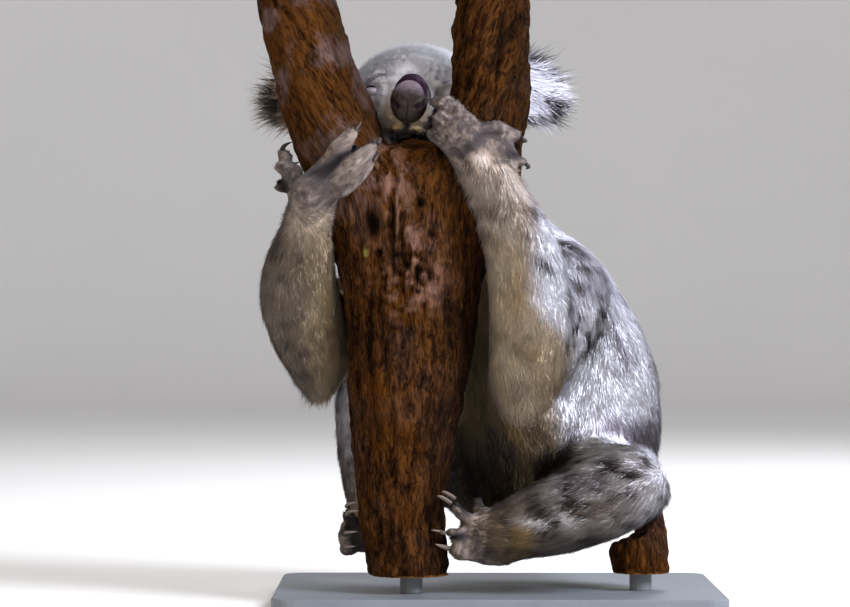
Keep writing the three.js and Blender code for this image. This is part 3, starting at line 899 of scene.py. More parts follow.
def headMarks(marks, points, head):
    # pale crown, greyer brow, cream lips either side of the dark split
    local = inHead(points)
    side, forward, up = local.T
    aside = np.abs(side)
    tint(marks, "crown", head * smoothStep(0.014, 0.036, up))
    tint(marks, "brow", head * bump(aside, 0.030, 0.016) * bump(up, 0.012, 0.009) * (forward > -0.01))
    # painted light: the sides of the head are paler
    tint(marks, "litTemples", head * smoothStep(0.020, 0.036, aside) * smoothStep(0.004, 0.018, up))
    # painted shade in the corner below each eye
    tint(marks, "eyeCornerShade", head * bump(aside, 0.0275, 0.0042) * bump(up, -0.0115, 0.0065) * (forward > 0))
    # painted shade: the cheeks, the jaw and the lower face are darker and browner towards the chin, the left
    # cheek more
    cheek = head * smoothStep(-0.012, -0.034, up) * (forward > -0.03)
    tint(marks, "cheek", cheek)
    tint(marks, "leftCheekShade", cheek * smoothStep(0.010, 0.020, side))
    jaw = smoothStep(-0.024, -0.034, up) * (forward > -0.04) * smoothStep(0.012, -0.002, forward)
    tint(marks, "jaw", head * jaw)
    tint(marks, "lowerFace", head * smoothStep(0.0, 0.02, forward) * smoothStep(0.0, -0.03, up))
    tint(marks, "lips", head * bump(aside, 0.0100, 0.0060) * bump(up, -0.0425, 0.0040) * (forward > 0.02))
    # the split under the nose and the mouth line are dark lip skin, deepened with painted shade in their
    # grooves
    seam = head * bump(side, 0, 0.0028) * smoothStep(-0.030, -0.036, up) * (forward > 0.02)
    mouth = head * smoothStep(0.0055, 0.0025, up - mouthLine(local)) * smoothStep(-0.01, 0.012, forward)
    for key in ("dark", "deep"):
        marks[key] += np.maximum(patches["seam"][key] * seam, patches["mouth"][key] * mouth)
    tint(marks, "besideNose", head * bump(aside, 0.020, 0.005) * bump(up, -0.026, 0.018) * (forward > 0.01))
    # bare dark skin in the groove over the nose pad, deepened with painted shade; painted shade also darkens
    # the fur in a ring round the pad
    outside = fromPad(local)
    arch = smoothStep(0.0020, 0.0008, outside) * smoothStep(-0.024, -0.010, up) * (forward > 0.01)
    tint(marks, "padArch", head * arch)
    tint(marks, "roundPadShade", head * smoothStep(0.010, 0.002, outside) * (forward > 0.0))
    tint(marks, "headFlecks", head * softNoise(points, (0.008, 0.008, 0.004), 61))
    tint(marks, "headLights", head * softNoise(points, 0.007, 62))


def earMarks(marks, points, weights, normals):
    # grey behind; the left one white with soft grey bands and a grey lower rim, the right one brown and dark
    # with painted shade
    behind = smoothStep(0.1, 0.7, normals[:, 1])
    left, right = shareOf(weights, "ear_left"), shareOf(weights, "ear_right")
    tint(marks, "earBehind", behind * (0.5 * left + right))
    across, _, up = inBox(points, "ear_left").T
    tint(marks, "earRim", left * smoothStep(0.60, 0.90, across) * smoothStep(0.55, 0.30, up))
    tint(marks, "leftEar", left)
    bands = softNoise(points, (0.03, 0.02, 0.006), 64)
    tint(marks, "leftEarBands", left * smoothStep(0.0, 0.5, bands))
    tint(marks, "rightEar", right)


def whitePatch(points):
    # where each flank is white
    across, back, up = inBox(points, "torso").T
    total = np.zeros(len(points))
    for sideways, backwards in ((0.64, 0.12), (0.0, 0.50)):
        total += bump(across, sideways, 0.13) * bump(up, 0.460, 0.085) * bump(back, backwards, 0.30)
    return total


def coatMarks(points, weights, normals, free):
    marks = {key: perRegion(weights, baseMarks[key]) for key in ("pale", "dark", "warm")}
    # deep carries painted shade
    marks["deep"] = np.zeros(len(points))
    fine = streaks(points, fleshAxes, weights, 0.013, 0.0038, 11)
    broad = streaks(points, fleshAxes, weights, 0.045, 0.011, 31)
    wavy = softNoise(points, (0.012, 0.012, 0.0052), 41) + 0.4 * softNoise(points, 0.0040, 42)
    clouds = softNoise(points, 0.026, 5)
    lines = streaks(points, fleshAxes, weights, 0.026, 0.0042, 51) + 0.35 * clouds
    head = shareOf(weights, "head")
    torsoMarks(marks, points, weights, lines)
    armMarks(marks, points, weights, wavy)
    legMarks(marks, points, weights, wavy)
    digitMarks(marks, points, weights, free)
    headMarks(marks, points, head)
    earMarks(marks, points, weights, normals)
    # painted shade where other flesh or the wood lies close over the skin
    tint(marks, "closeFleshShade", smoothStep(0.7, 0.2, free) * (1 - head))
    tint(marks, "clouds", clouds)
    # locks of lighter and darker hair
    mottled = perRegion(weights, baseMarks["mottled"])
    marks["pale"] += mottled * (0.60 * fine + 0.25 * broad - 0.50 * wavy)
    tint(marks, "darkLocks", mottled * smoothStep(0.05, 0.55, wavy + 0.5 * fine))
    return {key: np.clip(values, 0, 1) for key, values in marks.items()}


skinLie = lieField(skinSurface, skinWeights, skinNormals)
for key, values in coatMarks(skinSurface.points, skinWeights, skinNormals, skinOpen).items():
    addMark(skin.data, key, values)
addMark(skin.data, "tip", np.full(len(skinSurface.points), 0.35))
addMark(skin.data, "shade", 0.5 + 0.3 * softNoise(skinSurface.points, 0.0012, 71))
print("lie and markings set")


# hair is a dull fibre that scatters light: rough, with a faint sheen at grazing angles
# deep is the near-black of painted shade, used in folds, gaps, corners and the mouth
furValues = {"grey": "#a09aa8", "pale": "#f3f3fb", "warm": "#ae925e", "dark": "#3f3736", "deep": "#160c0b",
             "rough": 0.95, "softness": 0.86}


def furMaterial(name, hairSize=None):
    # hairSize is for the skin alone, where the hairs between the tufts are fine ridges
    material, tree, shader = newMaterial(name)
    marks = {}
    for key in ("pale", "warm", "dark", "deep", "tip", "shade"):
        marks[key] = node(tree, "ShaderNodeAttribute", {"attribute_name": key}).outputs["Fac"]
    # inputs 6 and 7 of a Mix node are its two colours, and output 2 the mixed one
    tone = hexColour(furValues["grey"])
    # the last mix, by deep, adds painted shade
    for key in ("pale", "warm", "dark", "deep"):
        tone = node(tree, "ShaderNodeMix", {"data_type": "RGBA", 0: marks[key], 6: tone,
                                            7: hexColour(furValues[key])}).outputs[2]
    # hair is darker at its root and pale at its tip, and no two tufts are quite alike
    depth = node(tree, "ShaderNodeMapRange", {"Value": marks["tip"], "To Min": 0.80, "To Max": 1.04})
    shade = node(tree, "ShaderNodeMapRange", {"Value": marks["shade"], "To Min": 0.74, "To Max": 1.20})
    level = node(tree, "ShaderNodeMath", {"operation": "MULTIPLY", 0: depth.outputs[0], 1: shade.outputs[0]})
    lit = node(tree, "ShaderNodeVectorMath", {"operation": "SCALE", 0: tone, "Scale": level.outputs[0]})
    if hairSize:
        spot = node(tree, "ShaderNodeTexCoord", {}).outputs["Object"]
        grain = node(tree, "ShaderNodeTexNoise", {"Vector": spot, "Scale": 1 / hairSize, "Detail": 3.0})
        soft = node(tree, "ShaderNodeBump", {"Strength": 0.5, "Distance": 0.0006,
                                             "Height": grain.outputs["Fac"]})
    else:
        # a tuft is a brush of many hairs, so it takes the light much as the skin below it does
        facing = node(tree, "ShaderNodeNewGeometry", {}).outputs["Normal"]
        under = node(tree, "ShaderNodeAttribute", {"attribute_name": "under"}).outputs["Vector"]
        mixed = node(tree, "ShaderNodeMix", {"data_type": "VECTOR", 0: furValues["softness"],
                                             4: facing, 5: under}).outputs[1]
        soft = node(tree, "ShaderNodeVectorMath", {"operation": "NORMALIZE", 0: mixed})
    adjust(tree, shader, {"Base Color": lit.outputs[0], "Normal": soft.outputs[0],
                          "Roughness": furValues["rough"], "IOR": 1.55, "Specular IOR Level": 0.08,
                          "Sheen Weight": 0.08, "Sheen Roughness": 0.7})
    return material


tuftFur = furMaterial("koala fur, tufts")
skinFur = furMaterial("koala fur, short undercoat", 0.0012)

coatValues = {
    "length": {"head": 0.0095, "neck": 0.015, "torso": 0.0150, "ear": 0.014, "upper_arm": 0.0135,
               "forearm": 0.0125, "hand": 0.0036, "thigh": 0.0135, "shank": 0.0120, "foot": 0.0042},
    "width": {"head": 0.00095, "neck": 0.0013, "torso": 0.00125, "ear": 0.00074, "upper_arm": 0.0011,
              "forearm": 0.0010, "hand": 0.00066, "thigh": 0.0012, "shank": 0.0011, "foot": 0.00070},
    "perSquareCentimetre": {"head": 94, "neck": 64, "torso": 90, "ear": 120, "upper_arm": 96,
                            "forearm": 100, "hand": 150, "thigh": 84, "shank": 90, "foot": 140},
    # how far neighbouring tufts draw together into locks
    "clump": {"head": 0.10, "neck": 0.14, "torso": 0.12, "ear": 0.14, "upper_arm": 0.24,
              "forearm": 0.22, "hand": 0.0, "thigh": 0.22, "shank": 0.22, "foot": 0.0},
    "lockShare": 0.03,  # one tuft in so many leads a lock
    "lockReach": 0.02,
    # degrees that a tuft leaves the skin at, straight or bent, and its tip lies at
    "straightLift": {"head": 11, "neck": 8, "torso": 7, "ear": 14, "upper_arm": 9,
                     "forearm": 9, "hand": 10, "thigh": 8, "shank": 9, "foot": 10},
    "bentLift": 22.0,
    "tipLift": 5.0,
    "liftSpread": 3.0,
    "tipSpread": 5.0,
    "faceLength": 0.0046,
    "muzzleLength": 0.0026,
    "faceDenser": 2.6,
    "crownLonger": 0.003,
    "crownLift": 7.0,
    "earFringe": 0.031,
    "elbowFringe": 0.021,
    "rooted": 0.0006,  # how deep a tuft starts inside the skin
    "patch": 0.003,  # side of a tuft's patch in the OFBake map
    "mostTriangles": 195000,  # in one piece
    "share": 1.0,
}


def scatter(surface, density):
    # random places on the skin: the three corner points of a triangle and their shares
    starts = np.cumsum(surface.sides) - surface.sides
    quads = starts[surface.sides == 4]
    first = np.concatenate([starts, quads])
    second = np.concatenate([starts + 1, quads + 2])
    third = np.concatenate([starts + 2, quads + 3])
    corner = surface.corners[np.stack([first, second, third], axis=1)]
    a, b, c = (surface.points[corner[:, k]] for k in range(3))
    area = np.linalg.norm(np.cross(b - a, c - a), axis=1) / 2
    wanted = area * 1e4 * density[corner].mean(1)
    count = int(wanted.sum())
    picked = dice.choice(len(area), count, p=wanted / wanted.sum())
    r, s = dice.random(count), dice.random(count)
    over = r + s > 1
    r[over], s[over] = 1 - r[over], 1 - s[over]
    return corner[picked], np.stack([1 - r - s, r, s], axis=1)


def at(values, corner, share):
    mixed = values[corner] * (share[..., None] if values.ndim > 1 else share)
    return mixed.sum(1)


def unwrap(points, normals, name):
    # lays a region flat: round its axis and along it; an ear as its front beside its back
    axis = axisOf[name]
    cad = cadPoints(name)
    middle = cad.mean(0)
    away = points - middle
    aside = unit(np.cross(axis, [0.0, 0.0, 1.0] if abs(axis[2]) < 0.9 else [1.0, 0.0, 0.0]))
    other = np.cross(axis, aside)
    reach = (cad - middle) @ axis
    along = np.clip((away @ axis - reach.min()) / np.ptp(reach), 0, 1)
    if name.startswith("ear"):
        wide = (cad - middle) @ headUp
        across = np.clip((away @ headUp - wide.min()) / np.ptp(wide), 0, 1)
        return np.stack([along * 0.48 + 0.5 * (normals[:, 1] > 0), across], axis=1)
    turn = np.arctan2(away @ aside, away @ other) / (2 * math.pi) + 0.5
    return np.stack([turn, along], axis=1)


def tuftMesh(name, tufts, rings):
    # one joined mesh of closed, flattened, tapering tufts; tufts is a dictionary of arrays
    root, normal, lie = tufts["root"], tufts["normal"], tufts["lie"]
    count = len(root)
    across = unit(np.cross(normal, lie))
    lowLift, highLift = tufts["rootLift"], tufts["tipLift"]
    size = tufts["length"]
    points, tip, flat = [], [], []
    for t in [0.0, 0.5][:rings] + [1.0]:
        forward = np.cos(lowLift) * t + (np.cos(highLift) - np.cos(lowLift)) * t * t / 2
        upward = np.sin(lowLift) * t + (np.sin(highLift) - np.sin(lowLift)) * t * t / 2
        sway = tufts["bend"] * t * t
        middle = root + lie * (forward * size)[:, None] + across * (sway * size)[:, None]
        middle += normal * (upward * size - coatValues["rooted"])[:, None]
        if t == 1.0:
            ring = [(middle, 0.5, 0.0)]
        else:
            half = (tufts["width"] * (1 - 0.3 * t) / 2)[:, None]
            ring = [(middle - across * half, 0.0, 0.0), (middle + across * half, 1.0, 0.0),
                    (middle - normal * half * 0.8, 0.5, -0.08)]
        for spot, u, drop in ring:
            points.append(spot)
            tip.append(np.full(count, t))
            flat.append(np.tile([u, t + drop], (count, 1)))
    perTuft = 3 * rings + 1
    faces = [[0, 1, 2]]
    for ring in range(rings - 1):
        low, high = 3 * ring, 3 * ring + 3
        for p, q in ((1, 0), (2, 1), (0, 2)):
            faces += [[low + p, low + q, high + q], [low + p, high + q, high + p]]
    last, end = 3 * (rings - 1), 3 * rings
    faces += [[last + p, last + q, end] for p, q in ((1, 0), (2, 1), (0, 2))]
    corners = (np.array(faces)[None] + (np.arange(count) * perTuft)[:, None, None]).reshape(-1)
    obj = newObject(name, np.stack(points, axis=1).reshape(-1, 3), corners, np.full(len(corners) // 3, 3))
    for key in ("pale", "dark", "warm", "deep", "shade"):
        addMark(obj.data, key, np.repeat(tufts[key], perTuft))
    addMark(obj.data, "tip", np.stack(tip, axis=1).reshape(-1))
    addMark(obj.data, "under", np.repeat(normal, perTuft, axis=0))
    places = tufts["place"][:, None, :] + np.stack(flat, axis=1) * coatValues["patch"]
    layer = obj.data.uv_layers.new(name="OFBake")
    layer.data.foreach_set("uv", places.reshape(-1, 2)[corners].astype(np.float32).ravel())
    place(obj, tuftFur)


coatGroups = {
    "coat_face": ["head"],
    "coat_crown": ["head"],
    "coat_ears": ["ear_left", "ear_right"],
    "coat_neck": ["neck"],
    "coat_torso": ["torso"],
    "coat_arm_left": ["upper_arm_left", "forearm_left"],
    "coat_arm_right": ["upper_arm_right", "forearm_right"],
    "coat_leg_left": ["thigh_left", "shank_left"],
    "coat_leg_right": ["thigh_right", "shank_right"],
    "coat_hands": ["hand_left", "hand_right"],
    "coat_feet": ["foot_left", "foot_right"],
}
longHaired = ("coat_ears",)  # hair long enough to bend


def drawnTogether(root, normal, lie, length, amount):
    # tips lean towards the tip of the nearest lock
    lockCount = int(len(root) * coatValues["lockShare"])
    leaders = dice.choice(len(root), lockCount, replace=False)
    tree = KDTree(lockCount)
    for number, point in enumerate(root[leaders].tolist()):
        tree.insert(point, number)
    tree.balance()
    nearest = leaders[[tree.find(point)[1] for point in root.tolist()]]
    target = root[nearest] + lie[nearest] * length[nearest][:, None]
    toTarget = target - root
    toTarget -= normal * (toTarget * normal).sum(1, keepdims=True)
    near = np.linalg.norm(root[nearest] - root, axis=1) < coatValues["lockReach"]
    mixed = lie * (1 - amount)[:, None] + unit(toTarget) * amount[:, None]
    return np.where(near[:, None], unit(mixed), lie), nearest


def tuftDensity(faceShare):
    # tufts per square centimetre: fewer under other flesh, more on the face, and none round the nose
    # pad, in the mouth line or over the eyes
    density = perRegion(skinWeights, coatValues["perSquareCentimetre"])
    density *= coatValues["share"] * (0.2 + 0.8 * smoothStep(0.15, 0.75, skinOpen))
    density *= 1 + coatValues["faceDenser"] * faceShare
    local = inHead(skinSurface.points)
    forward, toMouth = local[:, 1], local[:, 2] - mouthLine(local)
    head = shareOf(skinWeights, "head")
    bare = smoothStep(0.0024, 0.0012, fromPad(local)) * (forward > 0.010) * head
    bare = np.maximum(bare, head * smoothStep(0.0045, 0.0025, toMouth) * smoothStep(0.010, 0.025, forward))
    for eye in (eyeLeft, eyeRight):
        away = np.linalg.norm(skinSurface.points - eye, axis=1)
        bare = np.maximum(bare, smoothStep(0.0054, 0.0044, away))
    return density * (1 - bare)


def turnedLie(root, normal, lie, face):
    # neighbours lean together: a slow turn of the lie, and a little for each tuft
    turn = 0.26 * softNoise(root, 0.020, 3) + 0.42 * softNoise(root, 0.007, 4)
    turn += 0.20 * dice.normal(size=len(root))
    turn *= 1 - 0.6 * face
    across = unit(np.cross(normal, lie))
    lie = unit(lie * np.cos(turn)[:, None] + across * np.sin(turn)[:, None])
    return unit(lie - normal * (lie * normal).sum(1, keepdims=True))


def tuftsOnSkin():
    headShare = shareOf(skinWeights, "head")
    faceShare = headShare * smoothStep(-0.015, 0.015, inHead(skinSurface.points)[:, 1])
    corner, share = scatter(skinSurface, tuftDensity(faceShare))
    normal = unit(at(skinNormals, corner, share))
    root = at(skinSurface.points, corner, share)
    weights = at(skinWeights, corner, share)
    face = at(faceShare, corner, share)
    count = len(root)
    lie = turnedLie(root, normal, at(skinLie, corner, share), face)
    length = perRegion(weights, coatValues["length"])
    for side in ("left", "right"):
        # the long hair of an ear grows along its rim
        ear = shareOf(weights, f"ear_{side}")
        reach = np.linalg.norm(root - earRoot[side], axis=1)
        rim = ear * smoothStep(0.45, 0.85, reach / reach[ear > 0.5].max())
        length += (coatValues["earFringe"] - length) * rim
    crown = shareOf(weights, "head") * (1 - face) * smoothStep(0.014, 0.030, inHead(root)[:, 2])
    length += coatValues["crownLonger"] * crown
    hanging = np.zeros(count)
    for side in ("left", "right"):
        # a fringe hangs from the elbow
        low = smoothStep(0.26, 0.04, inBox(root, f"forearm_{side}")[:, 2])
        elbow = (low * shareOf(weights, f"forearm_{side}", f"upper_arm_{side}")).clip(0, 1)
        hanging += elbow * 0.8 * np.arcsin(np.clip(-normal[:, 2], 0, 1))
        length += (coatValues["elbowFringe"] - length) * elbow
    muzzle = smoothStep(0.045, 0.020, np.linalg.norm(root - fromHead(noseMiddle), axis=1))
    shortest = coatValues["faceLength"] + (coatValues["muzzleLength"] - coatValues["faceLength"]) * muzzle
    length += (shortest - length) * face
    length *= 1 + 0.20 * dice.normal(size=count).clip(-2, 2) + 0.16 * softNoise(root, 0.012, 8)
    width = perRegion(weights, coatValues["width"]) * (0.8 + 0.4 * dice.random(count)) * (1 - 0.45 * face)
    lie, lock = drawnTogether(root, normal, lie, length, perRegion(weights, coatValues["clump"]))
    bent = shareOf(weights, "ear_left", "ear_right") > 0.5
    rootLift = np.where(bent, coatValues["bentLift"], perRegion(weights, coatValues["straightLift"]))
    rootLift += coatValues["liftSpread"] * dice.normal(size=count) + coatValues["crownLift"] * crown
    shade = 0.40 * dice.random(count) + 0.60 * dice.random(count)[lock]
    # painted light: tufts in the white patch are brightened and evened out towards the top of their tone
    # range
    white = np.clip(1.2 * whitePatch(root) * shareOf(weights, "torso"), 0, 0.85)
    shade += (1.0 - shade) * white
    tipLift = coatValues["tipLift"] + coatValues["tipSpread"] * dice.normal(size=count)
    return {"root": root, "normal": normal, "lie": lie, "length": length, "width": width,
            "rootLift": np.radians(rootLift.clip(3, 60)) + hanging, "tipLift": np.radians(tipLift),
            "bend": 0.12 * dice.normal(size=count), "shade": shade, "onFace": face > 0.5,
            "weights": weights, **coatMarks(root, weights, normal, at(skinOpen, corner, share))}


def someOf(tufts, which):
    return {key: values[which] for key, values in tufts.items()}


def makeCoat(tufts):
    region = tufts["weights"].argmax(1)
    total = 0
    for name, regions in coatGroups.items():
        rings = 2 if name in longHaired else 1
        triangles = 6 * rings - 2
        mask = np.isin(region, [regionOf[r] for r in regions])
        if "head" in regions:
            mask &= tufts["onFace"] == (name == "coat_face")
        part = someOf(tufts, mask)
        owner = region[mask]
        part["place"] = np.zeros((len(owner), 2))
        for column, r in enumerate(regions):
            own = owner == regionOf[r]
            flat = unwrap(part["root"][own], part["normal"][own], r)
            part["place"][own] = (flat * [0.94, 0.96] + [0.02 + column, 0.02]) / [len(regions), 1]
        pieces = math.ceil(len(owner) * triangles / coatValues["mostTriangles"])
        order = np.argsort(part["place"][:, 0])
        for n, indices in enumerate(np.array_split(order, pieces)):
            title = name if pieces == 1 else f"{name}_{n + 1}"
            tuftMesh(title, someOf(part, indices), rings)
        total += len(owner) * triangles
        print("coat:", name, len(owner), "tufts in", pieces, "piece(s)")
    print("coat:", total, "triangles")


makeCoat(tuftsOnSkin())
place(skin, skinFur, fleshNodes)


noseValues = {
    "voxel": 0.0008,
    "rounds": 26,
    "grow": 0.0008,
    # places are shares of the pad's half width and of its height from the bottom
    "nostrilSide": 0.56,
    "nostrilUp": 0.25,
    "nostrilDeep": 0.0026,
    "wingHigh": 0.0007,
    "splitDeep": 0.0011,
    "rimDeep": 0.0010,
    "bumps": 0.00025,
    "pebble": 0.0009,  # the leather's pebbles are 0.9 mm across
    "dark": "#170d05",
    "grey": "#62575d",
    "rim": "#1c0a18",
}


def noseLeather():
    # bare nose pad: thick grainy skin like moist leather, so a broad soft gloss over small pebbles
    material, tree, shader = newMaterial("nose pad, grained skin")
    marks = {}
    for key in ("pad", "rim"):
        marks[key] = node(tree, "ShaderNodeAttribute", {"attribute_name": key}).outputs["Fac"]
    spot = node(tree, "ShaderNodeTexCoord", {}).outputs["Object"]
    cloudy = node(tree, "ShaderNodeTexNoise", {"Vector": spot, "Scale": 260.0, "Detail": 3.0}).outputs["Fac"]
    cloudy = node(tree, "ShaderNodeMath", {"operation": "MULTIPLY_ADD", 0: cloudy, 1: 0.5, 2: -0.25})
    tone = node(tree, "ShaderNodeMath", {"operation": "ADD", "use_clamp": True, 0: marks["pad"],
                                         1: cloudy.outputs[0]})
    tone = node(tree, "ShaderNodeMix", {"data_type": "RGBA", 0: tone.outputs[0],
                                        6: hexColour(noseValues["dark"]), 7: hexColour(noseValues["grey"])})
    tone = node(tree, "ShaderNodeMix", {"data_type": "RGBA", 0: marks["rim"], 6: tone.outputs[2],
                                        7: hexColour(noseValues["rim"])})
    pebbles = node(tree, "ShaderNodeTexVoronoi", {"Vector": spot, "Scale": 1 / noseValues["pebble"],
                                                  "feature": "SMOOTH_F1"})
    raised = node(tree, "ShaderNodeBump", {"Strength": 0.35, "Distance": 0.0003, "invert": True,
                                           "Height": pebbles.outputs["Distance"]})
    shine = node(tree, "ShaderNodeMapRange", {"Value": marks["rim"], "To Min": 0.2, "To Max": 0.02})
    adjust(tree, shader, {"Base Color": tone.outputs[2], "Normal": raised.outputs[0], "Roughness": 0.6,
                          "IOR": 1.45, "Specular IOR Level": shine.outputs[0]})
    return material


def makeNose():
    surface = Surface(remeshed("nose_pad", ["nose"], noseValues["voxel"]))
    surface.relax(np.full(len(surface.points), noseValues["rounds"]))
    surface.points += surface.normals() * noseValues["grow"]
    side, _, up = inHead(surface.points).T
    across = side / np.abs(side).max()
    height = (up - up.min()) / np.ptp(up)
    front = smoothStep(0.05, 0.45, surface.normals() @ headForward)
    push, holes = np.zeros(len(across)), np.zeros(len(across))
    # comma-shaped nostrils that open outwards, each under a low wing
    for sign in (-1, 1):
        fromHole = across * sign - noseValues["nostrilSide"]
        above = height - noseValues["nostrilUp"] - 0.18 * fromHole
        holes = np.maximum(holes, bump(fromHole, 0, 0.22) * bump(above, 0, 0.055))
        holes = np.maximum(holes, 0.8 * bump(fromHole, 0.26, 0.10) * bump(above, 0.035, 0.07))
        push += noseValues["wingHigh"] * bump(fromHole, 0, 0.34) * bump(above, 0.11, 0.06)
    push -= noseValues["nostrilDeep"] * smoothStep(0.25, 0.9, holes) * front
    # a groove up the middle of the lower half, and a low rim round the upper edge
    push -= noseValues["splitDeep"] * bump(across, 0, 0.07) * smoothStep(0.34, 0.2, height) * front
    arch = np.sqrt(((across - 0.01) / 0.84) ** 2 + ((height - 0.39) / 0.36) ** 2)
    push -= noseValues["rimDeep"] * smoothStep(0.97, 1.05, arch) * smoothStep(0.36, 0.52, height)
    push += noseValues["bumps"] * softNoise(surface.points, 0.0035, 61) * front
    surface.points += surface.normals() * push[:, None]
    obj = newObject("nose_pad", surface.points, surface.corners, surface.sides)
    # the upper pad is mauve-grey and the lower part near black: partly the pad's own tone, partly a painted
    # highlight above and painted shade below
    outer = np.sqrt(across ** 2 + ((height - 0.52) / 0.5) ** 2)
    pad = smoothStep(0.40, 0.70, height) * smoothStep(0.95, 0.75, outer)
    pad *= 0.85 + 0.15 * softNoise(surface.points, 0.006, 62)
    addMark(obj.data, "pad", np.clip(pad * (1 - holes), 0, 1))
    # the rim round the upper edge is bare dark skin; the nostrils are darkened as well, painted shade in the
    # holes
    edge = smoothStep(0.94, 1.02, arch) * smoothStep(0.32, 0.56, height)
    addMark(obj.data, "rim", np.clip(np.maximum(edge, 0.8 * smoothStep(0.3, 0.9, holes)), 0, 1))
    place(obj, noseLeather(), ["nose"])


makeNose()
print("nose made")

eyeValues = {
    "radius": 0.0055,
    "aside": 0.0026,  # how far the ball lies outside the middle of the CAD eye
    "up": -0.0010,
    "deeper": 0.0025,
    "outward": 0.42,  # how far the eye looks aside, against forward
    "rings": 19,
    "columns": 28,
    "pupilWide": 0.12,
    "slitAt": 16.0,  # degrees that the slit lies above the eye's middle
    "slitOpen": 10.0,  # degrees between the lids
    "lidFrom": 0.18,  # radians from the eye's corner to the lid's end
    "lidTurn": 100.0,  # degrees that a lid reaches round the ball
    "lidGap": 0.0001,
    "lidRise": 0.0009,
    "lidThick": 0.0011,
    "lidSwell": 0.0011,
    "lidAlong": 25,
    "lidRows": 9,
    "iris": "#5a3a20",
    "ball": "#1a1312",
    "lidDark": "#6a6267",
    "lidPale": "#9c9294",
    "lidEdge": "#33242a",
}


def wetEye():
    # the eyeball is wet, so it is as glossy as glass
    material, tree, shader = newMaterial("eyeball, wet")
    amount = node(tree, "ShaderNodeAttribute", {"attribute_name": "iris"}).outputs["Fac"]
    spot = node(tree, "ShaderNodeTexCoord", {}).outputs["Object"]
    fibres = node(tree, "ShaderNodeTexNoise", {"Vector": spot, "Scale": 900.0, "Detail": 2.0}).outputs["Fac"]
    amount = node(tree, "ShaderNodeMath", {"operation": "MULTIPLY", 0: amount, 1: fibres})
    tone = node(tree, "ShaderNodeMix", {"data_type": "RGBA", 0: amount.outputs[0],
                                        6: hexColour(eyeValues["ball"]), 7: hexColour(eyeValues["iris"])})
    adjust(tree, shader, {"Base Color": tone.outputs[2], "Roughness": 0.08, "IOR": 1.38,
                          "Coat Weight": 0.5, "Coat Roughness": 0.05})
    return material


def lidSkin():
    # short-haired lid, bare and dark along its edge
    material, tree, shader = newMaterial("eyelid, short-haired skin")
    marks = {}
    for key in ("edge", "pale"):
        marks[key] = node(tree, "ShaderNodeAttribute", {"attribute_name": key}).outputs["Fac"]
    spot = node(tree, "ShaderNodeTexCoord", {}).outputs["Object"]
    mottled = node(tree, "ShaderNodeTexNoise", {"Vector": spot, "Scale": 480.0, "Detail": 3.0}).outputs["Fac"]
    pale = node(tree, "ShaderNodeMath", {"operation": "MULTIPLY", 0: marks["pale"], 1: mottled})
    pale = node(tree, "ShaderNodeMath", {"operation": "MULTIPLY", "use_clamp": True,
                                         0: pale.outputs[0], 1: 1.7})
    tone = node(tree, "ShaderNodeMix", {"data_type": "RGBA", 0: pale.outputs[0],
                                        6: hexColour(eyeValues["lidDark"]),
                                        7: hexColour(eyeValues["lidPale"])})
    tone = node(tree, "ShaderNodeMix", {"data_type": "RGBA", 0: marks["edge"], 6: tone.outputs[2],
                                        7: hexColour(eyeValues["lidEdge"])})
    hairs = node(tree, "ShaderNodeTexNoise", {"Vector": spot, "Scale": 1500.0, "Detail": 3.0})
    raised = node(tree, "ShaderNodeBump", {"Strength": 0.5, "Distance": 0.0004,
                                           "Height": hairs.outputs["Fac"]})
    adjust(tree, shader, {"Base Color": tone.outputs[2], "Normal": raised.outputs[0], "Roughness": 0.7})
    return material


def spun(angle, first, second):
    # directions at these angles from the first axis towards the second
    return np.cos(angle)[..., None] * first + np.sin(angle)[..., None] * second


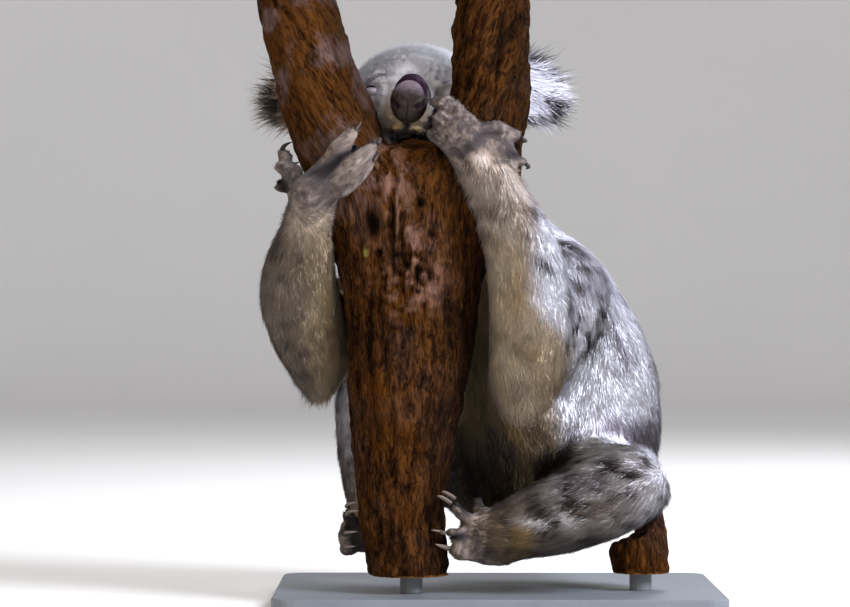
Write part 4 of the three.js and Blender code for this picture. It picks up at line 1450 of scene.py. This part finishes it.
def makeEye(side, sign, ballMaterial, lidMaterial):
    radius = eyeValues["radius"]
    outward = unit(headForward + sign * headSide * eyeValues["outward"])
    middle = centreOf(f"eye_{side}") + sign * headSide * eyeValues["aside"] + headUp * eyeValues["up"]
    middle = middle - outward * eyeValues["deeper"]
    aside = unit(np.cross(outward, headUp))
    upward = np.cross(aside, outward)
    rings, columns = eyeValues["rings"], eyeValues["columns"]
    polar = np.linspace(0.02, math.pi - 0.02, rings)[:, None]
    turn = np.linspace(0, 2 * math.pi, columns, endpoint=False)[None]
    ball = middle + radius * spun(polar, outward, spun(turn, aside, upward))
    obj = gridObject(f"eyeball_{side}", ball.reshape(-1, 3), rings, columns, True, caps=True)
    faceOutward(obj)
    pupil = np.abs(np.sin(polar) * np.cos(turn)) < eyeValues["pupilWide"]
    addMark(obj.data, "iris", (smoothStep(0.75, 0.6, polar) * ~pupil).ravel())
    place(obj, ballMaterial, [f"eye_{side}"])
    # each lid turns about the line through the eye's corners; its section runs out, over its edge and back
    rows, along = eyeValues["lidRows"], eyeValues["lidAlong"]
    inner = radius + eyeValues["lidGap"]
    outer = radius + eyeValues["lidRise"] + eyeValues["lidThick"]
    corner = np.linspace(eyeValues["lidFrom"], math.pi - eyeValues["lidFrom"], along)
    steps = np.concatenate([np.linspace(1, 0, rows), np.linspace(0, 1, rows)])
    for name, way in (("upper", 1), ("lower", -1)):
        edge = np.radians(eyeValues["slitAt"] + way * eyeValues["slitOpen"] / 2 * np.sin(corner) ** 0.8)
        fromEdge = steps[None] * (math.radians(eyeValues["lidTurn"]) * way - edge[:, None])
        depth = np.repeat([inner, outer], rows)
        depth[rows - 1:rows + 1] = (inner + outer) / 2 + np.array([-1, 1]) * eyeValues["lidThick"] * 0.25
        size = np.repeat(depth[None], along, axis=0)
        if name == "lower":
            swell = eyeValues["lidSwell"] * np.sin(np.pi * np.clip(steps * 1.6, 0, 1)) * (depth == outer)
            size += swell[None] * np.sin(corner)[:, None]
        lid = spun(corner[:, None], aside, spun(edge[:, None] + fromEdge, outward, upward))
        points = middle + size[..., None] * lid
        obj = gridObject(f"eyelid_{name}_{side}", points.reshape(-1, 3), along, len(steps), True, caps=True)
        faceOutward(obj)
        addMark(obj.data, "edge", smoothStep(0.16, 0.05, np.abs(fromEdge)).ravel())
        # the lower lid is pale; the upper lid is kept dark grey, painted shade of the fold above it
        addMark(obj.data, "pale", np.full(fromEdge.size, 0.9 if way < 0 else 0.05))
        place(obj, lidMaterial)


ballMaterial, lidMaterial = wetEye(), lidSkin()
for side, sign in (("left", 1), ("right", -1)):
    makeEye(side, sign, ballMaterial, lidMaterial)
print("eyes and lids made")

clawValues = {
    "rings": 14,
    "sides": 10,
    "baseRadius": 0.0021,
    "tipRadius": 0.00012,
    "rootedBy": 0.003,
    "flatness": 0.72,
    "pale": {"hand": 0.1, "foot": 0.85},
    # colours at the root and the worn tip, of dark claws and pale ones
    "dark": ("#2e2523", "#191413"),
    "light": ("#4a3f39", "#85796f"),
}


def hornMaterial():
    # claw horn: keratin grown in long layers, satin, darker at the root and pale at the worn tip
    material, tree, shader = newMaterial("claw horn, keratin")
    marks = {}
    for key in ("tip", "pale"):
        marks[key] = node(tree, "ShaderNodeAttribute", {"attribute_name": key}).outputs["Fac"]
    tones = []
    for kind in ("dark", "light"):
        root, tip = clawValues[kind]
        tones.append(node(tree, "ShaderNodeMix", {"data_type": "RGBA", 0: marks["tip"],
                                                  6: hexColour(root), 7: hexColour(tip)}).outputs[2])
    tone = node(tree, "ShaderNodeMix", {"data_type": "RGBA", 0: marks["pale"], 6: tones[0], 7: tones[1]})
    spot = node(tree, "ShaderNodeTexCoord", {}).outputs["Object"]
    layers = node(tree, "ShaderNodeTexNoise", {"Vector": spot, "Scale": 1400.0, "Detail": 2.0})
    raised = node(tree, "ShaderNodeBump", {"Strength": 0.25, "Distance": 0.0002,
                                           "Height": layers.outputs["Fac"]})
    adjust(tree, shader, {"Base Color": tone.outputs[2], "Normal": raised.outputs[0], "Roughness": 0.5,
                          "IOR": 1.54, "Specular IOR Level": 0.3})
    return material


def makeClaw(name, material):
    # follows the CAD claw's bend: from its root end through its middle to its tip
    points = np.unique(cadPoints(name).round(5), axis=0)
    middle = points.mean(0)
    axis = np.linalg.svd(points - middle, full_matrices=False)[2][0]
    reach = (points - middle) @ axis
    ends = [points[reach < np.quantile(reach, 0.2)], points[reach > np.quantile(reach, 0.8)]]
    if fleshTree.find_nearest(ends[0].mean(0))[3] > fleshTree.find_nearest(ends[1].mean(0))[3]:
        ends.reverse()
    base, tip = ends[0].mean(0), ends[1].mean(0)
    halfway = points[np.abs(reach) < np.ptp(reach) * 0.2]
    knee = (halfway.mean(0) if len(halfway) else middle) * 2 - (base + tip) / 2
    t = np.linspace(0, 1, clawValues["rings"])[:, None]
    base = base + unit(base - knee) * clawValues["rootedBy"]
    line = (1 - t) ** 2 * base + 2 * t * (1 - t) * knee + t * t * tip
    ahead = unit(2 * (1 - t) * (knee - base) + 2 * t * (tip - knee))
    aside = unit(np.cross(knee - base, tip - knee))
    across = np.cross(ahead, aside)
    radius = clawValues["baseRadius"] * (1 - t ** 1.6) ** 0.75 + clawValues["tipRadius"]
    turn = np.linspace(0, 2 * math.pi, clawValues["sides"], endpoint=False)
    ring = spun(turn[None], across[:, None], aside * clawValues["flatness"])
    shape = line[:, None] + radius[:, None] * ring
    obj = gridObject(f"horn_{name}", shape.reshape(-1, 3), len(t), len(turn), True, caps=True)
    faceOutward(obj)
    addMark(obj.data, "tip", np.repeat(t[:, 0], len(turn)))
    limb = name.split("_")[1]
    addMark(obj.data, "pale", np.full(len(t) * len(turn), clawValues["pale"][limb]))
    place(obj, material, [name])


horn = hornMaterial()
for name in sorted(cadNodes):
    if name.startswith("claw"):
        makeClaw(name, horn)
print("claws made")

barkValues = {
    "voxel": 0.0020,
    "forkAt": 0.66,  # the fork's height as a share of the trunk's
    "rounds": 10,
    # heights and depths of the bark's forms, in metres
    "ridges": 0.0019,
    "crumbs": 0.0010,
    "lumps": 0.0014,
    "peelHigh": 0.0012,
    "crinkleHigh": 0.0020,
    "furrowDeep": 0.0032,
    "knotDeep": 0.008,
    "sink": 0.0012,
    "fibre": 0.0012,  # fibres 1.2 mm wide and torn flakes 4 mm wide
    "flake": 0.0040,
    "drawnOut": 0.70,  # how far fibres and flakes are stretched along the stem
    "yearRing": 0.0025,  # growth rings 2.5 mm apart on the sawn ends
    "dark": "#090401",
    "brown": "#2a1203",
    "light": "#583614",
    "ochre": "#4e2c08",
    "grey": "#5e4a44",
    "peel": "#75584a",
    "scar": "#6c6331",
    "sawn": "#b57f45",
    "ring": "#865225",
    # knots and hollows: across from the middle and up from the foot, half sizes in metres, and depth
    "knots": [
        (-0.031, 0.281, 0.0060, 0.013, 0.62),
        (-0.026, 0.257, 0.0030, 0.0030, 0.85),
        (0.008, 0.296, 0.0035, 0.0040, 0.6),
        (0.016, 0.272, 0.0040, 0.0040, 0.5),
        (-0.004, 0.135, 0.0050, 0.0090, 0.3),
    ],
}


def stringyBark():
    # fibrous eucalypt bark: dry, dull, torn into long strings and flakes, reddish brown under grey
    material, tree, shader = newMaterial("stringy eucalypt bark and sawn wood")
    colour = {key: hexColour(value) for key, value in barkValues.items() if str(value).startswith("#")}
    marks = {}
    for key in ("ridge", "furrow", "grey", "ochre", "peel", "scar", "damp", "cut", "ring"):
        marks[key] = node(tree, "ShaderNodeAttribute", {"attribute_name": key}).outputs["Fac"]
    grain = node(tree, "ShaderNodeAttribute", {"attribute_name": "grain"}).outputs["Vector"]
    fibres = node(tree, "ShaderNodeTexNoise", {"Vector": grain, "Scale": 1 / barkValues["fibre"],
                                               "Detail": 5.0, "Roughness": 0.65})
    flakes = node(tree, "ShaderNodeTexNoise", {"Vector": grain, "Scale": 1 / barkValues["flake"],
                                               "Detail": 4.0, "Roughness": 0.6, "Distortion": 1.2})
    flaked = node(tree, "ShaderNodeMapRange", {"Value": flakes.outputs["Fac"], "From Min": 0.35,
                                               "From Max": 0.65})
    halves = []
    for height in (fibres.outputs["Fac"], flaked.outputs[0]):
        halves.append(node(tree, "ShaderNodeMath", {"operation": "MULTIPLY_ADD", 0: height,
                                                    1: 0.9, 2: -0.45}))
    both = node(tree, "ShaderNodeMath", {"operation": "ADD", 0: halves[0].outputs[0],
                                         1: halves[1].outputs[0]}).outputs[0]
    ridge = node(tree, "ShaderNodeMath", {"operation": "ADD", "use_clamp": True, 0: marks["ridge"],
                                          1: both}).outputs[0]
    # raised bark is mixed lighter and low bark scaled darker by its height: partly the bark's own tone,
    # partly painted light and shade on its relief
    tone = colour["dark"]
    amounts = {"light": ridge, "brown": 0.45}
    amounts.update({key: marks[key] for key in ("ochre", "grey", "peel", "scar")})
    for key, amount in amounts.items():
        tone = node(tree, "ShaderNodeMix", {"data_type": "RGBA", 0: amount, 6: tone,
                                            7: colour[key]}).outputs[2]
    reliefLightAndShade = node(tree, "ShaderNodeMapRange", {"Value": ridge, "To Min": 0.26, "To Max": 1.24})
    tone = node(tree, "ShaderNodeVectorMath", {"operation": "SCALE", 0: tone, "Scale": reliefLightAndShade.outputs[0]})
    # painted shade: furrows, knot holes and the trunk's side facing +x go near black
    paintedShade = node(tree, "ShaderNodeMath", {"operation": "MAXIMUM", 0: marks["furrow"], 1: marks["damp"]})
    tone = node(tree, "ShaderNodeMix", {"data_type": "RGBA", 0: paintedShade.outputs[0], 6: tone.outputs[0],
                                        7: colour["dark"]})
    rings = node(tree, "ShaderNodeMath", {"operation": "SINE", 0: marks["ring"]})
    rings = node(tree, "ShaderNodeMapRange", {"Value": rings.outputs[0], "From Min": -1.0, "To Max": 0.6})
    wood = node(tree, "ShaderNodeMix", {"data_type": "RGBA", 0: rings.outputs[0], 6: colour["sawn"],
                                        7: colour["ring"]})
    tone = node(tree, "ShaderNodeMix", {"data_type": "RGBA", 0: marks["cut"], 6: tone.outputs[2],
                                        7: wood.outputs[2]})
    raised = node(tree, "ShaderNodeBump", {"Strength": 1.0, "Distance": 0.0030, "Height": both})
    adjust(tree, shader, {"Base Color": tone.outputs[2], "Normal": raised.outputs[0], "Roughness": 0.92,
                          "Specular IOR Level": 0.04})
    return material


def stemAxes(name):
    # the trunk stands upright and each stem leans its own way from the fork to its sawn top
    points = cadPoints(name)
    low, high = points.min(0), points.max(0)
    foot = points[points[:, 2] < low[2] + 0.003].mean(0)
    fork = np.array([foot[0], foot[1], low[2] + barkValues["forkAt"] * (high[2] - low[2])])
    tops = points[points[:, 2] > high[2] - 0.003]
    between = (tops[:, 0].min() + tops[:, 0].max()) / 2
    left, right = tops[tops[:, 0] < between].mean(0), tops[tops[:, 0] > between].mean(0)
    return np.array([-down, unit(left - fork), unit(right - fork)]), fork, [foot, left, right]


def stemShares(points, fork, forked):
    # how far each point belongs to the trunk, the left stem and the right stem
    up = smoothStep(fork[2] - 0.05, fork[2] + 0.05, points[:, 2]) * forked
    toLeft = smoothStep(0.022, -0.022, points[:, 0] - fork[0])
    return np.stack([1 - up, up * toLeft, up * (1 - toLeft)], axis=1)


def trunkFeatures(points, normals, fork, low):
    # knots and hollows, a slanting strip where the bark has peeled, a crinkled patch under it, and a scar
    front = smoothStep(0.1, 0.5, -normals[:, 1])
    across, above = points[:, 0] - fork[0], points[:, 2] - low
    holes, collar = np.zeros(len(points)), np.zeros(len(points))
    for aside, height, wide, tall, deep in barkValues["knots"]:
        spot = ((across - aside) / wide) ** 2 + ((above - height) / tall) ** 2
        holes = np.maximum(holes, deep * np.exp(-spot ** 1.5) * front)
        collar = np.maximum(collar, bump(np.sqrt(spot), 1.5, 0.45) * front)
    slant = across * 0.96 + (above - 0.261) * 0.28
    strip = bump(slant, 0, 0.0125) * smoothStep(0.20, 0.24, above) * smoothStep(0.36, 0.33, above) * front
    crinkled = bump(across, -0.003, 0.025) * bump(above, 0.234, 0.030) * front
    # the scar is small and yellow, beside the round knot
    scar = bump(across, -0.0355, 0.0022) * bump(above, 0.2575, 0.0034) * front
    return holes, collar, strip, crinkled, scar


def makeBark(name, material):
    forked = name == "perch_trunk"
    axes, fork, ends = stemAxes(name)
    surface = Surface(remeshed("bark", [name], barkValues["voxel"]))
    points = surface.points
    low, high = points.min(0)[2], points.max(0)[2]
    # sawn ends stay flat: their points are found before the bark is roughened
    normals = surface.normals()
    cut = (np.abs(normals[:, 2]) > 0.9) & ((points[:, 2] > high - 0.003) | (points[:, 2] < low + 0.003))
    cut = cut.astype(float)
    surface.relax(barkValues["rounds"] * (1 - cut))
    normals = unit(surface.spread(surface.normals(), 3))
    shares = stemShares(points, fork, forked)
    strings = np.abs(streaks(points, axes, shares, 0.075, 0.0065, 101))
    fibres = np.abs(streaks(points, axes, shares, 0.020, 0.0036, 111))
    furrows = streaks(points, axes, shares, 0.13, 0.015, 121)
    lumps = softNoise(points, 0.022, 131)
    crumbs = softNoise(points, 0.006, 141)
    crinkles = softNoise(points, (0.0046, 0.0046, 0.0036), 182) + 0.4 * crumbs
    ridge = 0.5 * (1 - 2.2 * strings) + 0.35 * (1 - 2 * fibres) + 0.25 * lumps
    furrow = bump(furrows, 0, 0.055) * smoothStep(-0.3, 0.3, softNoise(points, 0.05, 151))
    furrow *= 0.35 + 0.65 * shares[:, 2]
    plain = np.zeros((5, len(points)))
    holes, collar, strip, crinkled, scar = trunkFeatures(points, normals, fork, low) if forked else plain
    peel = strip * smoothStep(0.0, 0.5, 0.72 - 2 * strings + 0.9 * crumbs)
    ridge += 0.5 * collar + 0.5 * peel + crinkled * crinkles
    push = barkValues["ridges"] * ridge + barkValues["crumbs"] * crumbs + barkValues["lumps"] * lumps
    push += barkValues["peelHigh"] * peel + barkValues["crinkleHigh"] * crinkled * crinkles
    push -= barkValues["furrowDeep"] * furrow + barkValues["knotDeep"] * holes + barkValues["sink"]
    surface.points = points + normals * (push * (1 - cut))[:, None]
    surface.points[:, 2] = np.clip(surface.points[:, 2], low, high)
    obj = newObject(f"bark_{name}", surface.points, surface.corners, surface.sides)
    height = (points[:, 2] - low) / (high - low)
    greyed = smoothStep(-0.1, 0.6, softNoise(points, 0.026, 161) + 0.4 * crumbs)
    marks = {
        # ridge is higher on raised bark and on the stems; where it follows the relief it is painted light and
        # shade
        "ridge": 0.42 + 0.42 * ridge + 0.34 * shares[:, 1] + 0.14 * shares[:, 2],
        # painted shade: furrows and knot holes are darkened
        "furrow": np.maximum(furrow * 0.8, smoothStep(0.2, 0.7, holes)),
        "grey": greyed * (0.10 + 0.80 * shares[:, 1]),
        "ochre": 0.55 * smoothStep(-0.1, 0.6, softNoise(points, 0.035, 171)) * smoothStep(0.8, 0.3, height),
        "peel": 0.75 * peel + 0.5 * crinkled * smoothStep(0.1, 0.6, crinkles),
        "scar": smoothStep(0.15, 0.5, scar),
        # painted shade: the trunk and its stems are darker on the side facing +x
        "damp": 0.55 * smoothStep(0.10, 0.85, normals[:, 0]) * forked,
        "cut": cut,
    }
    for key, values in marks.items():
        addMark(obj.data, key, np.clip(values, 0, 1))
    # rings run round the pith of each sawn end; the tops' piths don't count near the foot
    fromPith = np.min([np.linalg.norm(points[:, :2] - end[:2], axis=1) + (height < 0.5) * (n > 0)
                       for n, end in enumerate(ends)], axis=0)
    addMark(obj.data, "ring", fromPith / barkValues["yearRing"] * 2 * math.pi)
    fromFork = points - fork
    along = sum(share[:, None] * (fromFork @ axis)[:, None] * axis for share, axis in zip(shares.T, axes))
    addMark(obj.data, "grain", fromFork - along * barkValues["drawnOut"])
    place(obj, material, [name])
    print("bark:", name, len(points), "points")


bark = stringyBark()
for name in ("perch_trunk", "perch_seat"):
    makeBark(name, bark)

steelValues = {"dark": "#565b60", "light": "#6c7175", "orangePeel": 0.0015}


def coatedSteel():
    # steel plate and rod, powder coated: an even satin grey with the faint orange peel of baked powder
    material, tree, shader = newMaterial("powder-coated steel, satin grey")
    spot = node(tree, "ShaderNodeTexCoord", {}).outputs["Object"]
    # dust and handling make the coat a little uneven over 40 mm
    worn = node(tree, "ShaderNodeTexNoise", {"Vector": spot, "Scale": 25.0, "Detail": 3.0}).outputs["Fac"]
    tone = node(tree, "ShaderNodeMix", {"data_type": "RGBA", 0: worn, 6: hexColour(steelValues["dark"]),
                                        7: hexColour(steelValues["light"])})
    rough = node(tree, "ShaderNodeMapRange", {"Value": worn, "To Min": 0.40, "To Max": 0.56})
    peel = node(tree, "ShaderNodeTexNoise", {"Vector": spot, "Scale": 1 / steelValues["orangePeel"],
                                             "Detail": 1.0})
    raised = node(tree, "ShaderNodeBump", {"Strength": 0.15, "Distance": 0.0002,
                                           "Height": peel.outputs["Fac"]})
    adjust(tree, shader, {"Base Color": tone.outputs[2], "Roughness": rough.outputs[0],
                          "Normal": raised.outputs[0]})
    return material


steel = coatedSteel()
for name in ("stand_base", "stand_rod_trunk", "stand_rod_seat"):
    for slot in cadNodes[name].material_slots:
        slot.material = steel
print("stand coated")

# plain pale floor that curves up far out, all the way round
stageValues = {"flatTo": 5.0, "curve": 1.5, "wallTop": 3.5, "sides": 96, "colour": "#e4e2dc",
               "shadow": "#dcdad5"}


def paintedBoard():
    # matt emulsion on board: flat, with a faint unevenness from the roller
    material, tree, shader = newMaterial("matt white emulsion, rolled")
    spot = node(tree, "ShaderNodeTexCoord", {}).outputs["Object"]
    cloudy = node(tree, "ShaderNodeTexNoise", {"Vector": spot, "Scale": 1.5, "Detail": 2.0})
    tone = node(tree, "ShaderNodeMix", {"data_type": "RGBA", 0: cloudy.outputs["Fac"],
                                        6: hexColour(stageValues["colour"]),
                                        7: hexColour(stageValues["shadow"])})
    adjust(tree, shader, {"Base Color": tone.outputs[2], "Roughness": 0.9, "Specular IOR Level": 0.2})
    return material


def makeFloor():
    turn = np.linspace(0, math.pi / 2, 9)
    flat, curve = stageValues["flatTo"], stageValues["curve"]
    out = np.concatenate([[0.001, 1.0, 2.5], flat + curve * np.sin(turn), [flat + curve]])
    up = np.concatenate([[0, 0, 0], curve * (1 - np.cos(turn)), [stageValues["wallTop"]]])
    around = np.linspace(0, 2 * math.pi, stageValues["sides"], endpoint=False)
    points = np.stack([np.outer(out, np.cos(around)), np.outer(out, np.sin(around)),
                       np.repeat(up[:, None], len(around), axis=1)], axis=-1)
    obj = gridObject("floor", points.reshape(-1, 3), len(out), len(around), True)
    obj.data.materials.append(paintedBoard())


lightValues = {
    "sky": "#e3e4ea",
    "skyStrength": 0.60,
    "aim": (0, 0, 0.27),
    # name: place, size in metres, watts, colour
    "lamps": {
        "key": ((1.9, -1.5, 1.7), 1.2, 198, "#ebeeff"),
        "fill": ((-1.1, -2.2, 1.2), 1.6, 23, "#ffecd4"),
        "back": ((0.9, 1.6, 1.9), 1.2, 45, "#f4f7ff"),
    },
}


def makeLights():
    world = bpy.data.worlds.new("sky")
    world.use_nodes = True
    adjust(world.node_tree, world.node_tree.nodes["Background"],
           {"Color": hexColour(lightValues["sky"]), "Strength": lightValues["skyStrength"]})
    bpy.context.scene.world = world
    for name, (spot, size, power, colour) in lightValues["lamps"].items():
        lamp = bpy.data.lights.new(name, "AREA")
        lamp.size = size
        lamp.energy = power
        lamp.color = hexColour(colour)[:3]
        obj = bpy.data.objects.new(name, lamp)
        obj.location = spot
        obj.rotation_euler = (Vector(lightValues["aim"]) - Vector(spot)).to_track_quat("-Z", "Y").to_euler()
        bpy.context.scene.collection.objects.link(obj)


# the camera looks level along +Y, from just left of the trunk and half the model's height
cameraValues = {"place": (-0.059, -2.56, 0.243), "lens": 132.4}


def makeCamera():
    camera = bpy.data.cameras.new("camera")
    camera.lens = cameraValues["lens"]
    obj = bpy.data.objects.new("camera", camera)
    obj.location = cameraValues["place"]
    obj.rotation_euler = (math.pi / 2, 0, 0)
    bpy.context.scene.collection.objects.link(obj)
    bpy.context.scene.camera = obj
    bpy.context.scene.view_settings.view_transform = "Standard"


makeFloor()
makeLights()
makeCamera()
